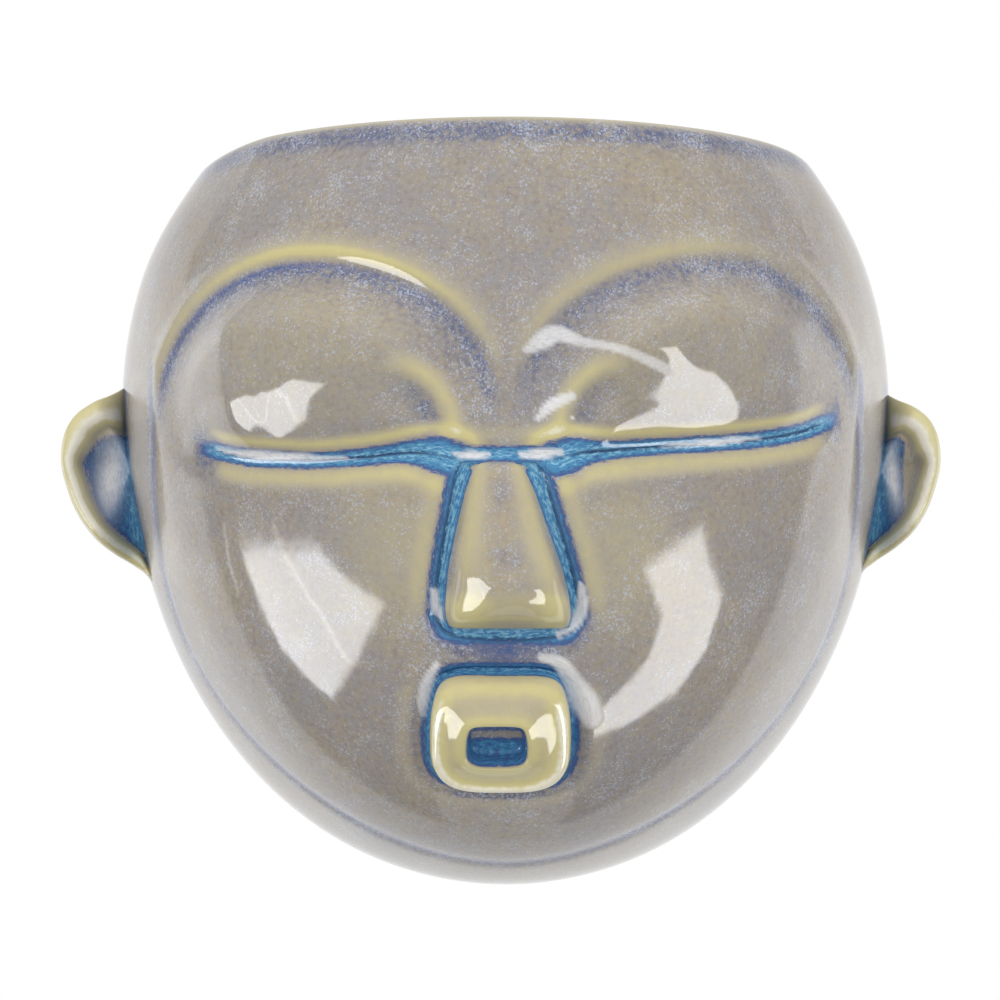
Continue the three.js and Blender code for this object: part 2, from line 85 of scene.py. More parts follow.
def height_at_depth(depth, grow=0.0):
    share = np.clip(depth / (FACE_DEPTH + grow), 0.0, 1.0) ** CHIN_FULLNESS
    return -(CHIN_DROP + grow) * (1.0 - share) ** (1.0 / CHIN_FULLNESS)


def head_point(angle, height, grow=0.0):
    across = half_width(height, grow) * np.cos(angle)
    return np.stack([across, -head_depth(height, grow) * np.sin(angle), height + 0.0 * angle], -1)


def head_way_out(angle, height):
    step = 0.004
    across = head_point(angle - step, height) - head_point(angle + step, height)
    low = np.maximum(height - 4 * step, -CHIN_DROP)
    up = head_point(angle, height + 4 * step) - head_point(angle, low)
    out = np.cross(across, up)
    return out / np.maximum(np.linalg.norm(out, axis=-1, keepdims=True), 1e-9)


def rim_sag(x, height):
    sag = RIM_DIP * (x / half_width(np.maximum(height, 0.0))) ** 2 + LEFT_SHOULDER * ease(-x, 46.0, 66.0)
    return sag * ease(height, 25.0, RIM_RISE)


def on_face(x, height):
    return head_point(np.arccos(np.clip(x / half_width(height), -1.0, 1.0)), height)


def smooth_route(points, steps, closed=False):
    points = np.asarray(points, float)
    if closed:
        before, after = points[-1:], points[:2]
    else:
        before, after = 2 * points[:1] - points[1:2], 2 * points[-1:] - points[-2:-1]
    padded = np.concatenate([before, points, after])
    spans = len(points) if closed else len(points) - 1
    where = np.linspace(0, spans, steps + 1)
    first = np.minimum(where.astype(int), spans - 1)
    t = (where - first)[:, None]
    a, b, c, d = (padded[first + k] for k in range(4))
    bend = (2 * a - 5 * b + 4 * c - d) * t ** 2 + (3 * b - a - 3 * c + d) * t ** 3
    return 0.5 * (2 * b + (c - a) * t + bend)


# The nearest place on a route: how far away it is, which side of it, and how far along the route it lies.
def beside_route(points, out, route):
    best = np.full(len(points), 1e9)
    side = np.zeros(len(points))
    along = np.zeros(len(points))
    run = 0.0
    for start, end in zip(route[:-1], route[1:]):
        line = end - start
        length = np.linalg.norm(line)
        share = np.clip((points - start) @ line / length ** 2, 0.0, 1.0)
        gap = points - start - share[:, None] * line
        far = np.linalg.norm(gap, axis=1)
        nearer = far < best
        turn = np.einsum("ij,ij->i", np.cross(line / length, gap), out)
        best = np.where(nearer, far, best)
        side = np.where(nearer, np.sign(turn), side)
        along = np.where(nearer, run + share * length, along)
        run += length
    return best, side, along, run


# Below, an amount that swells and fades is a bump with its (middle, width), and one that grows is an ease
# over (from, to). Distances inwards of a brow's or a lid corner's edge are counted along the face.
# Brows: the upper half of an ellipse over each eye socket, the left and right ones a little unlike.
BROW_FOOT = -3.0
BROWS = {
    -1: dict(peak=40.0, inner=40.0, outer=32.0, rise=31.0),
    1: dict(peak=44.2, inner=44.2, outer=28.0, rise=32.0),
}
BROW_HOLLOW = {  # shares of the deep hollow beside the nose and of the steep one under the crown
    -1: dict(beside_nose=0.0, crown=1.0),
    1: dict(beside_nose=1.0, crown=0.0),
}
BROW_GLAZE = {  # where the yellow edge lies, its strength, and what gathers below it, also outwards
    -1: dict(edge=-0.6, yellow=0.6, spread=(34.0, 24.0), veil=(0.36, 0.18), pool=(0.17, 0.12)),
    1: dict(edge=-0.4, yellow=0.15, spread=(30.0, 20.0), veil=(0.24, 0.14), pool=(0.07, 0.05)),
}
# Lids: a swell from each slit up to its reach, less far at the outer end, and a groove along the slit.
LIDS = {
    -1: dict(reach=22.0, loss=10.0, lost=(28.0, 58.0), fade=(46.0, 70.0), groove=0.15,
             steep=0.27, steeper=[(0.085, 22.0, 42.0), (0.2, 43.0, 53.0)]),
    1: dict(reach=21.0, loss=9.5, lost=(26.0, 54.0), fade=(42.0, 68.0), groove=0.3,
            steep=0.38, steeper=[(-0.06, 28.0, 38.0)]),
}
LID_SOFTNESS = 12.0
# Inner lid corners: a small hooked edge beside the nose with a dent below it.
LID_CORNER_FOOT = -8.0
LID_CORNER = dict(peak=20.0, inner=8.5, outer=20.0, rise=12.0)
LID_CORNER_DENT = {-1: 0.7, 1: 1.4}
# Violet-grey laid in each dent, stronger on the left, is painted shade.
LID_CORNER_DENT_SHADE = {-1: 0.45, 1: 0.25}


def inside_socket(face, side, foot, peak, inner, outer, rise):
    dx = face.x * side - peak
    dz = face.height - foot
    half = np.where(dx < 0, inner, outer)
    value = np.maximum(np.hypot(dx / half, dz / rise), 1e-6)
    slope = np.stack([side * dx / half ** 2, 0.0 * dx, dz / rise ** 2], -1) / value[:, None]
    slope -= np.einsum("ij,ij->i", slope, face.out)[:, None] * face.out
    inside = (1.0 - value) / np.maximum(np.linalg.norm(slope, axis=1), 1e-6)
    return inside, ease(dz, -0.2 * rise, 0.35 * rise)


# Routes of the eye slits, each point [x, height, share of the depth, half width of the blue].
EYES = {
    -1: [[-63, -9.4, 0.0, 2.2], [-57.5, -10.2, 0.6, 2.2], [-54.5, -10.9, 0.9, 2.1], [-49.8, -11.7, 1, 2.1],
         [-42.2, -12.2, 1, 1.9], [-35.9, -12.3, 1, 1.8], [-29.1, -11.9, 1, 1.9], [-22.3, -11.2, 1, 2.1],
         [-17.9, -10.9, 0.9, 2.8], [-13.5, -11.3, 0.7, 4.0], [-10.0, -12.2, 0.7, 4.0]],
    1: [[68.5, -3.0, 0.0, 2.2], [66, -3.9, 0.4, 2.2], [62, -5.4, 0.8, 2.1], [59.3, -6.4, 1, 2.0],
        [51.8, -7.9, 1, 1.9], [42.5, -8.9, 1, 1.8], [29.1, -9.8, 1, 1.8], [20.5, -10.5, 1, 2.1],
        [16.0, -10.8, 0.9, 2.8], [12.5, -11.4, 0.7, 4.0], [9.4, -12.2, 0.7, 4.0]],
}
LID_MARGINS = {s: (np.abs([p[0] for p in e[::-1]]), [p[1] for p in e[::-1]]) for s, e in EYES.items()}
BRIDGE = [[-9.5, -11.4, 0.7, 1.9], [-0.5, -11.2, 0.6, 1.7], [9.0, -11.4, 0.8, 1.9]]
# The yellow above and below a slit has a strength, a distance from the blue and a width.
SLIT_FORM = dict(steps=70, depth=0.7, crease=0.9, veil=0.6, over=(0.75, 1.3, 1.1), under=(0.55, 1.6, 2.0))
BRIDGE_FORM = dict(steps=16, depth=1.3, crease=0.3, veil=0.0, over=(0.675, 1.8, 2.2), under=(0.0, 1.6, 2.0))

# Outline of the nose's foot, each point [height, half width].
NOSE_HALF = [[-12.6, 5.0], [-13.7, 6.3], [-17.3, 7.5], [-22.7, 8.8], [-28.6, 10.3], [-33.9, 11.5],
             [-38.2, 12.2], [-41.0, 12.5], [-43.0, 12.4], [-44.4, 12.1]]
NOSE_TOP = -13.7
NOSE_TIP = -45.0


def nose_middle(height):
    return -1.5 - 0.06 * (height + 13.0)


def nose_crease_depth(height):
    return 1.5 + 0.03 * (-13 - height)


# The crease round the nose, each point [x, height, depth, width, from the foot to the dark line].
NOSE_FOOT = (
    [[nose_middle(h) - a, h, nose_crease_depth(h), 3.7, 1.6] for h, a in NOSE_HALF[1:-1]]
    + [[-9.7, -45.2, 1.8, 3.4, 1.4], [0.3, -45.6, 1.3, 2.8, 1.5], [10.3, -45.2, 1.8, 3.6, 1.4]]
    + [[nose_middle(h) + a, h, nose_crease_depth(h), 3.9, 1.7] for h, a in NOSE_HALF[1:-1][::-1]]
)

# Painted highlights, pale patches that stand in for mirrored light, each point [x, height, half width,
# strength].
PAINTED_HIGHLIGHTS = [
    [[6.9, -50.5, 0.8, 1], [10.3, -51.5, 1.5, 1], [13.0, -55.3, 1.9, 1], [15.3, -59.6, 2.7, 1],
     [16.9, -62.6, 2.2, 0.8]],
    [[-13.3, -51.7, 0.6, 1], [-15.0, -54.6, 1.1, 1], [-16.2, -58.4, 1.1, 1], [-16.4, -62.6, 0.5, 0.6]],
    [[14.5, -36.3, 0.5, 1], [14.9, -40.2, 0.9, 1], [13.6, -44.0, 1.0, 1], [10.3, -46.3, 0.6, 0.8]],
    [[-14.2, -37.3, 0.5, 1], [-13.7, -41.1, 0.9, 1], [-12.5, -43.4, 0.6, 1]],
    [[-10.0, -11.3, 0.4, 0.8], [-6.7, -11.4, 0.9, 1], [-3.4, -11.4, 0.4, 0.8]],
    [[2.4, -11.4, 0.4, 0.8], [6.4, -11.2, 1.1, 1], [10.7, -10.7, 0.6, 0.8]],
    [[-57.0, -10.0, 0.3, 0.6], [-50.0, -11.0, 0.8, 1], [-43.0, -11.5, 0.9, 1], [-36.0, -11.8, 0.6, 0.9],
     [-31.0, -11.9, 0.3, 0.5]],
    [[30.6, -9.6, 0.3, 0.5], [40.0, -8.9, 0.7, 0.8], [50.3, -7.6, 0.4, 0.5]],
    [[4.0, 8.7, 0.8, 0.8], [7.0, 10.6, 1.9, 1], [10.3, 12.0, 1.4, 0.9], [14.1, 10.2, 0.9, 0.7],
     [17.9, 9.0, 0.8, 0.7], [22.7, 7.1, 0.8, 0.7], [26.4, 5.6, 0.9, 0.6], [30.0, 4.0, 0.9, 0.2]],
    [[5.9, -4.6, 0.5, 0.8], [8.6, -1.9, 1.1, 1], [12.2, -0.2, 0.9, 1]],
]
MOUTH = dict(x=-1.1, height=-65.0, half_width=13.7, half_height=12.4, tilt=math.radians(24))
MOUTH_SQUARENESS = 4.4


def mouth_outline(turn, a, b, square):
    s = np.sin(turn)
    corner = 1 / (square * (0.78 + 0.32 * ease(s, -0.5, 0.7)))
    x = a * np.sign(np.cos(turn)) * np.abs(np.cos(turn)) ** (2 * corner)
    z = b * np.sign(s) * np.abs(s) ** (2 * corner)
    return x * (1 - 0.075 * ease(z / b, 0.0, 1.0)), z


# The moat round the mouth, as the nose's crease. It is shallow below the mouth and at its left.
def mouth_foot():
    turn = np.linspace(0, 2 * math.pi, 49)
    x, z = mouth_outline(turn, MOUTH["half_width"], MOUTH["half_height"], MOUTH_SQUARENESS)
    up, down = ease(np.sin(turn), -0.2, 0.9), ease(-np.sin(turn), 0.5, 1.0)
    depth = 2.2 - 0.3 * up - 1.6 * down - 1.0 * bump(turn, 3.4, 0.4)
    width = 4.4 + 0.4 * up - 2.0 * down
    dark = 2.3 + 0 * turn
    height = MOUTH["height"] - 1.0 + z * math.cos(MOUTH["tilt"])
    return np.stack([MOUTH["x"] + x, height, depth, width, dark], -1)


# The jaw line runs from ear to ear round the chin, at a set distance from the wall.
JAW_POINTS = 60
JAW_TOP = 6.0
JAW_BOTTOM = -94.3
JAW_OFF_WALL = 35.0


def jaw_route():
    heights = np.linspace(JAW_TOP, JAW_BOTTOM, JAW_POINTS)
    off = JAW_OFF_WALL + 10.0 * ease(heights, -45.0, 0.0) + 15.0 * ease(-heights, 48.0, 96.0)
    share = np.clip(off / head_depth(heights), 0.0, 1.0)
    left = np.stack([-half_width(heights) * np.sqrt(1 - share ** 2), heights], -1)
    return np.concatenate([left, (left * [-1, 1])[::-1]])


# The relief of the face, rise above the plain head and carve into it, and how the glaze lies there. pool is
# deep blue, veil is a thick violet-grey coat, thin is where it breaks yellow, crease is a dark navy line
# along the bottom of a groove, and the last coat is painted highlight, pale patches that stand in for
# mirrored light. flow runs along and across the nearest groove.
GLAZE_COATS = ("pool", "veil", "thin", "crease", "milk")


class FaceSurface:
    def __init__(self, points, out):
        self.points = points
        self.out = out
        self.x = points[:, 0]
        self.height = points[:, 2]
        for amount in ("rise", "carve") + GLAZE_COATS:
            setattr(self, amount, np.zeros(len(points)))
        self.flow = np.zeros((len(points), 3))
        self.closest = np.full(len(points), 1e9)

    # How far each place is from a route, whether it is above it, and the route's own values beside it.
    def follow(self, route):
        line = on_face(route[:, 0], route[:, 1])
        far, side, along, _ = beside_route(self.points, self.out, line)
        steps = np.concatenate([[0.0], np.cumsum(np.linalg.norm(np.diff(line, axis=0), axis=1))])
        nearer = far < self.closest
        self.closest = np.where(nearer, far, self.closest)
        dark = np.interp(along, steps, route[:, 4]) if route.shape[1] > 4 else 0.0
        self.flow[nearer] = np.stack([along, far * side + dark, 0.0 * far], -1)[nearer]
        above = self.height > np.interp(along, steps, route[:, 1])
        return (far, above) + tuple(np.interp(along, steps, values) for values in route[:, 2:].T)

    def keep_deepest(self, carve, pool, crease):
        self.carve = np.maximum(self.carve, carve)
        self.pool = np.maximum(self.pool, pool)
        self.crease = np.maximum(self.crease, crease)


# A brow is a low ridge along the edge of its socket, with a hollow inside that edge. The glaze is yellow on
# the edge, less so at the right brow's outer end and where the brows meet, and gathers in the hollow.
def shape_brow(face, side):
    outwards = face.x * side
    hollow, glaze = BROW_HOLLOW[side], BROW_GLAZE[side]
    inside, fade = inside_socket(face, side, BROW_FOOT, **BROWS[side])
    beside_nose = hollow["beside_nose"] * (1 - ease(outwards, 6.0, 15.0))
    crown = hollow["crown"] * bump(outwards, 24.0, 13.0)
    foot = 3.8 + 3.0 * beside_nose - 1.4 * crown
    drop = ease(inside, -1.0, foot) * (1 - ease(inside, foot, 16.0))
    scoop = (0.8 + 0.9 * beside_nose + 0.4 * crown) * (1 - 0.6 * ease(outwards, 48.0, 60.0))
    fade = ease(outwards, -0.5, 1.5) * fade
    face.rise += fade * (0.6 * bump(inside, -2.4, 2.6) - scoop * drop)
    outer = ease(outwards, BROWS[side]["peak"] - 20.0, BROWS[side]["peak"] + 12.0)
    yellow = 0.2 + glaze["yellow"] * bump(outwards, *glaze["spread"])
    apart = fade * (1 - 0.5 * bump(face.x, 0.0, 5.0)) * (1 - 0.6 * ease(face.x, 34.0, 56.0))
    edge = glaze["edge"]
    face.thin += apart * (0.22 * bump(inside, edge - 1.5, 2.8) + yellow * bump(inside, edge, 1.3))
    veil, more_veil = glaze["veil"]
    face.veil += fade * ((veil + more_veil * outer) * bump(inside, 3.1, 1.6) + 0.16 * bump(inside, 5.5, 4.0))
    pool, more_pool = glaze["pool"]
    face.pool += fade * bump(inside, 2.2, 0.8) * (pool + more_pool * outer)
    return inside, beside_nose


def swell_lid(face, side, inside, beside_nose):
    outwards = face.x * side
    lid = LIDS[side]
    above = face.height - np.interp(outwards, *LID_MARGINS[side])
    soft = 0.5 * (above + np.sqrt(above ** 2 + LID_SOFTNESS))
    share = ease(outwards, 9.0, 22.0) * (1 - ease(outwards, *lid["fade"]))
    reach = lid["reach"] - lid["loss"] * ease(outwards, *lid["lost"])
    steep = lid["steep"] + sum(gain * ease(outwards, low, high) for gain, low, high in lid["steeper"])
    full = steep * reach
    swell = ease(inside, 0.5 + 6.0 * beside_nose, 15.0 + 6.0 * beside_nose)
    pillow = full * swell * (1 - (1 - np.clip(soft / reach, 0, 1)) ** 2)
    groove = lid["groove"] * full * ease(above, -6.0, -1.5) * (1 - ease(above, 8.0, 24.0))
    face.rise += share * (pillow - groove)
    face.thin += 0.14 * share * ease(above, 3.0, 9.0) * ease(inside, 3.0, 10.0)


# The glaze is also a little thin on the cheek below each corner.
def dent_lid_corner(face, side):
    outwards = face.x * side
    inside, fade = inside_socket(face, side, LID_CORNER_FOOT, **LID_CORNER)
    fade = fade * ease(outwards, -0.5, 1.5) * (1 - ease(outwards, 15.0, 24.0))
    fade = fade * ease(face.height, -11.0, -7.0)
    dent = ease(inside, -0.9, 3.0) * (1 - ease(inside, 3.0, 10.0))
    face.rise += fade * (0.4 * bump(inside, -1.8, 2.2) - LID_CORNER_DENT[side] * dent)
    face.thin += fade * 0.55 * bump(inside, -1.6, 2.0)
    # Painted shade: violet-grey in the dent below the corner.
    face.veil += fade * LID_CORNER_DENT_SHADE[side] * bump(inside, 3.0, 2.6)
    face.thin += 0.26 * bump(outwards, 22.0, 14.0) * bump(face.height, -30.0, 18.0)


def press_slit(face, route, steps, depth, crease, veil, over, under):
    far, above, share, half = face.follow(smooth_route(route, steps))
    face.keep_deepest(
        carve=depth * np.minimum(share, 1.1) * bump(far, 0.0, half + 0.6),
        pool=ease(share, 0.0, 0.7) * (1.02 - ease(far / half, 0.3, 1.1)),
        crease=crease * ease(share, 0.5, 0.9) * bump(far, 0.0, half),
    )
    face.veil += veil * (1 - ease(share, 0.0, 0.9)) * bump(far, 1.0, 3.4) * ease(share, 0.02, 0.2)
    lips = [strength * bump(far, half + away, width) for strength, away, width in (over, under)]
    face.thin += ease(share, 0.4, 0.9) * np.where(above, *lips)


def press_nose_crease(face):
    far, _, depth, width, _ = face.follow(smooth_route(NOSE_FOOT, 120))
    heights, halves = np.array(NOSE_HALF[::-1]).T
    within = np.abs(face.x - nose_middle(face.height)) < np.interp(face.height, heights, halves)
    within &= (face.height < NOSE_TOP) & (face.height > NOSE_TIP)
    reach = np.clip(np.where(within, 0.0, far) / width, 0, 1)
    clear = 1 - ease(face.height, NOSE_TOP + 0.5, NOSE_TOP + 2.2)
    face.keep_deepest(
        carve=clear * depth * np.cos(reach * math.pi / 2) ** 2,
        pool=clear * (1.05 - ease(reach, 0.2, 1.05)),
        crease=0.7 * clear * (reach < 1),
    )
    face.thin += clear * 0.3 * bump(far, width + 1.0, 2.0) * ease(face.height, -47.0, -36.0)
    face.veil += clear * 0.4 * bump(far, width, 1.2)


# The moat's blue is widest at the top, and a faint blue also lies between nose and mouth.
def press_mouth_moat(face):
    far, _, depth, width, _ = face.follow(mouth_foot())
    across, up = face.x - MOUTH["x"], face.height - MOUTH["height"]
    within = np.hypot(across / 12.6, (up + 1.0) / 10.4) < 1
    reach = np.clip(np.where(within, 0.0, far) / width, 0, 1)
    top = ease(up, 8.0, 11.0)
    philtrum = bump(face.height, -48.8, 3.0) * bump(face.x, -0.5, 7.5)
    moat = (1.05 - ease(reach, 0.25 * top, 0.7 + 0.25 * top)) * ease(depth, 0.5, 1.4)
    face.keep_deepest(
        carve=depth * np.cos(reach * math.pi / 2) ** 2,
        pool=np.maximum(moat, 0.26 * philtrum),
        crease=0.8 * top * (reach < 1),
    )
    face.veil += 0.45 * bump(reach, 0.8, 0.3) + 0.5 * bump(far, 1.2, 1.2) * (1 - ease(depth, 0.6, 1.2))
    face.thin += 0.2 * bump(far, width + 1.5, 2.0) * (1 - top)
    face.veil += 0.5 * philtrum


def press_jaw_line(face):
    far = face.follow(jaw_route())[0]
    fade = 0.75 + 0.25 * ease(face.height, -60.0, -10.0)
    face.keep_deepest(carve=0.35 * bump(far, 0.0, 1.8), pool=0.26 * fade * bump(far, 0.0, 1.1), crease=0.0)
    face.veil += 0.7 * fade * bump(far, 0.0, 2.2)


# Lays the painted highlights along their routes.
def cloud_milky_places(face):
    for route in PAINTED_HIGHLIGHTS:
        route = smooth_route(route, 24)
        far, _, along, length = beside_route(face.points, face.out, on_face(route[:, 0], route[:, 1]))
        steps = np.linspace(0, 1, len(route))
        half, strength = (np.interp(along / length, steps, values) for values in route[:, 2:].T)
        face.milk = np.maximum(face.milk, strength * (1 - ease(far / half, 0.6, 1.3)))


# At the rim the coat is thin on the lip and thick below it. Beside the ears a blue pool lies in the corner,
# and the head's side there is lightened with painted highlight and made satin.
def glaze_rim_and_ear_roots(face):
    below_rim = RIM_RISE - face.height
    face.veil += 0.5 * bump(below_rim, 3.0, 2.2)
    face.thin += 0.45 * bump(below_rim, 0.0, 1.0)
    aside, off_wall = np.abs(face.x), -face.points[:, 1]
    beside = ease(aside, 70.0, 76.0) * ease(face.height, -36.0, -31.0) * (1 - ease(face.height, 3.0, 7.0))
    lower = 1 - 0.65 * ease(face.height, -9.0, -3.0)
    face.pool = np.maximum(face.pool, beside * lower * bump(off_wall, 22.5, 3.2))
    face.veil += 0.35 * beside * bump(off_wall, 25.0, 2.4)
    face.thin += 0.12 * beside * bump(off_wall, 31.5, 2.4)
    # Painted highlight: a pale strip on the head's side beside each ear.
    around = ease(aside, 62.0, 70.0) * ease(face.height, -40.0, -30.0) * (1 - ease(face.height, 2.0, 10.0))
    face.milk = np.maximum(face.milk, 0.3 * around * bump(off_wall, 37.0, 9.0))


def face_relief(points, out):
    face = FaceSurface(points, out)
    for side in BROWS:
        swell_lid(face, side, *shape_brow(face, side))
        dent_lid_corner(face, side)
    for route in EYES.values():
        press_slit(face, route, **SLIT_FORM)
    press_slit(face, BRIDGE, **BRIDGE_FORM)
    press_nose_crease(face)
    press_mouth_moat(face)
    press_jaw_line(face)
    cloud_milky_places(face)
    glaze_rim_and_ear_roots(face)
    face.thin *= 1 - np.clip(face.pool * 1.5, 0, 1)
    face.veil = np.clip(face.veil, 0, 1)
    glaze = {coat: np.clip(getattr(face, coat), 0, 1.3) for coat in GLAZE_COATS}
    return face.rise - face.carve, glaze, face.flow


# A grid that place() lays over a piece. Seams and poles are merged, and a flat rim is closed with one face.
def draped_grid(name, across, down, place):
    mesh = bpy.data.meshes.new(name)
    work = bmesh.new()
    bmesh.ops.create_grid(work, x_segments=across, y_segments=down, size=0.5)
    work.to_mesh(mesh)
    work.free()
    spots = np.empty(len(mesh.vertices) * 3)
    mesh.vertices.foreach_get("co", spots)
    spots = spots.reshape(-1, 3)
    points, glaze, flow = place(spots[:, 0] + 0.5, spots[:, 1] + 0.5)
    points = points + [0.0, 0.0, WIDEST_Z]
    mesh.vertices.foreach_set("co", (points * MILLIMETRE).ravel())
    for coat, amount in glaze.items():
        mesh.attributes.new(coat, "FLOAT", "POINT").data.foreach_set("value", np.ascontiguousarray(amount))
    mesh.attributes.new("flow", "FLOAT_VECTOR", "POINT").data.foreach_set("vector", flow.ravel())
    work = bmesh.new()
    work.from_mesh(mesh)
    bmesh.ops.remove_doubles(work, verts=work.verts, dist=2e-6)
    rim = [e for e in work.edges if e.is_boundary]
    if rim:
        bmesh.ops.holes_fill(work, edges=rim, sides=0)
    bmesh.ops.recalc_face_normals(work, faces=work.faces)
    for face in work.faces:
        face.smooth = True
    work.to_mesh(mesh)
    work.free()
    mesh.set_sharp_from_angle(angle=math.radians(60))
    piece = bpy.data.objects.new(name, mesh)
    bpy.context.scene.collection.objects.link(piece)
    return piece


# Rows of the face shell's mesh, from the chin up the face, over the lip and down into the pocket: each has a
# height, how far it lies outside the plain head, and whether it carries the relief. Under the turns of the
# chin and of the well, rows are spaced by depth and not by height.
CHIN_TURN = -86.0
WELL_TURN = -78.0


def face_rows():
    chin = height_at_depth(np.linspace(BACK_THICKNESS, head_depth(np.array(CHIN_TURN)), 46))
    face = np.linspace(CHIN_TURN, RIM_RISE - LIP_RADIUS, 212)[1:]
    turn = np.linspace(0, math.pi / 2, 7)[1:]
    lip_out = RIM_RISE - LIP_RADIUS * (1 - np.sin(turn))
    lip_in = lip_out[::-1]
    well = np.linspace(RIM_RISE - LIP_RADIUS, WELL_TURN, 24)
    deep = head_depth(np.array(WELL_TURN), -POT_WALL)
    floor = height_at_depth(np.linspace(deep, BACK_THICKNESS, 14), -POT_WALL)[1:]
    outside = np.concatenate([chin, face])
    heights = np.concatenate([outside, lip_out, lip_in, well, floor])
    grow_out = -LIP_RADIUS * (1 - np.cos(turn))
    grow_in = (LIP_RADIUS * (1 - np.cos(turn)) - POT_WALL)[::-1]
    grows = np.concatenate([0 * outside, grow_out, grow_in, 0 * well - POT_WALL, 0 * floor - POT_WALL])
    carved = np.concatenate([np.ones(len(outside)), np.zeros(len(heights) - len(outside))])
    return heights, grows, carved


FACE_ROWS = face_rows()


def place_face(u, v):
    heights, grows, carved = (rows[np.rint(v * (len(rows) - 1)).astype(int)] for rows in FACE_ROWS)
    start = np.arcsin(np.clip(BACK_THICKNESS / np.maximum(head_depth(heights, grows), 1e-6), 0, 1))
    spread = 2 * u - 1
    spread = 0.75 * spread + 0.25 * spread ** 3
    angle = math.pi / 2 + (math.pi / 2 - start) * spread
    points = head_point(angle, heights, grows)
    out = head_way_out(angle, heights)
    rise, glaze, flow = face_relief(points, out)
    edge = ease(RIM_RISE - heights, LIP_RADIUS, LIP_RADIUS + 3.0) * ease(-points[:, 1], BACK_THICKNESS, 10.0)
    points = points + (rise * carved * edge)[:, None] * out
    points[:, 2] -= rim_sag(points[:, 0], heights)
    inner = (carved < 0.5) & (heights < RIM_RISE - LIP_RADIUS)
    for coat in glaze.values():
        coat[inner] = 0.0
    return points, glaze, flow


# The glaze: one node group for every piece. It mixes the coats by the amounts that each mesh carries.
def tone(red, green, blue):
    shares = [level / 255 for level in (red, green, blue)]
    return tuple(s / 12.92 if s < 0.0405 else ((s + 0.055) / 1.055) ** 2.4 for s in shares) + (1,)


def add(tree, kind, sockets=(), **settings):
    node = tree.nodes.new(kind)
    for name, value in settings.items():
        setattr(node, name, value)
    for name, value in dict(sockets).items():
        if isinstance(value, bpy.types.NodeSocket):
            tree.links.new(value, node.inputs[name])
        else:
            node.inputs[name].default_value = value
    return node


def grain(tree, where, size_mm, detail=3.0, rough=0.6, warp=0.0):
    sockets = {"Vector": where, "Scale": 1000.0 / size_mm, "Detail": detail}
    sockets.update({"Roughness": rough, "Distortion": warp})
    return add(tree, "ShaderNodeTexNoise", sockets).outputs["Fac"]


def between(tree, value, low, high, to_low=0.0, to_high=1.0):
    sockets = {"Value": value, "From Min": low, "From Max": high, "To Min": to_low, "To Max": to_high}
    return add(tree, "ShaderNodeMapRange", sockets, interpolation_type="SMOOTHSTEP").outputs["Result"]


def calc(tree, work, a, b=0.0):
    return add(tree, "ShaderNodeMath", {0: a, 1: b}, operation=work, use_clamp=False).outputs[0]


def mix(tree, amount, a, b):
    return add(tree, "ShaderNodeMix", {0: amount, 6: a, 7: b}, data_type="RGBA").outputs[2]


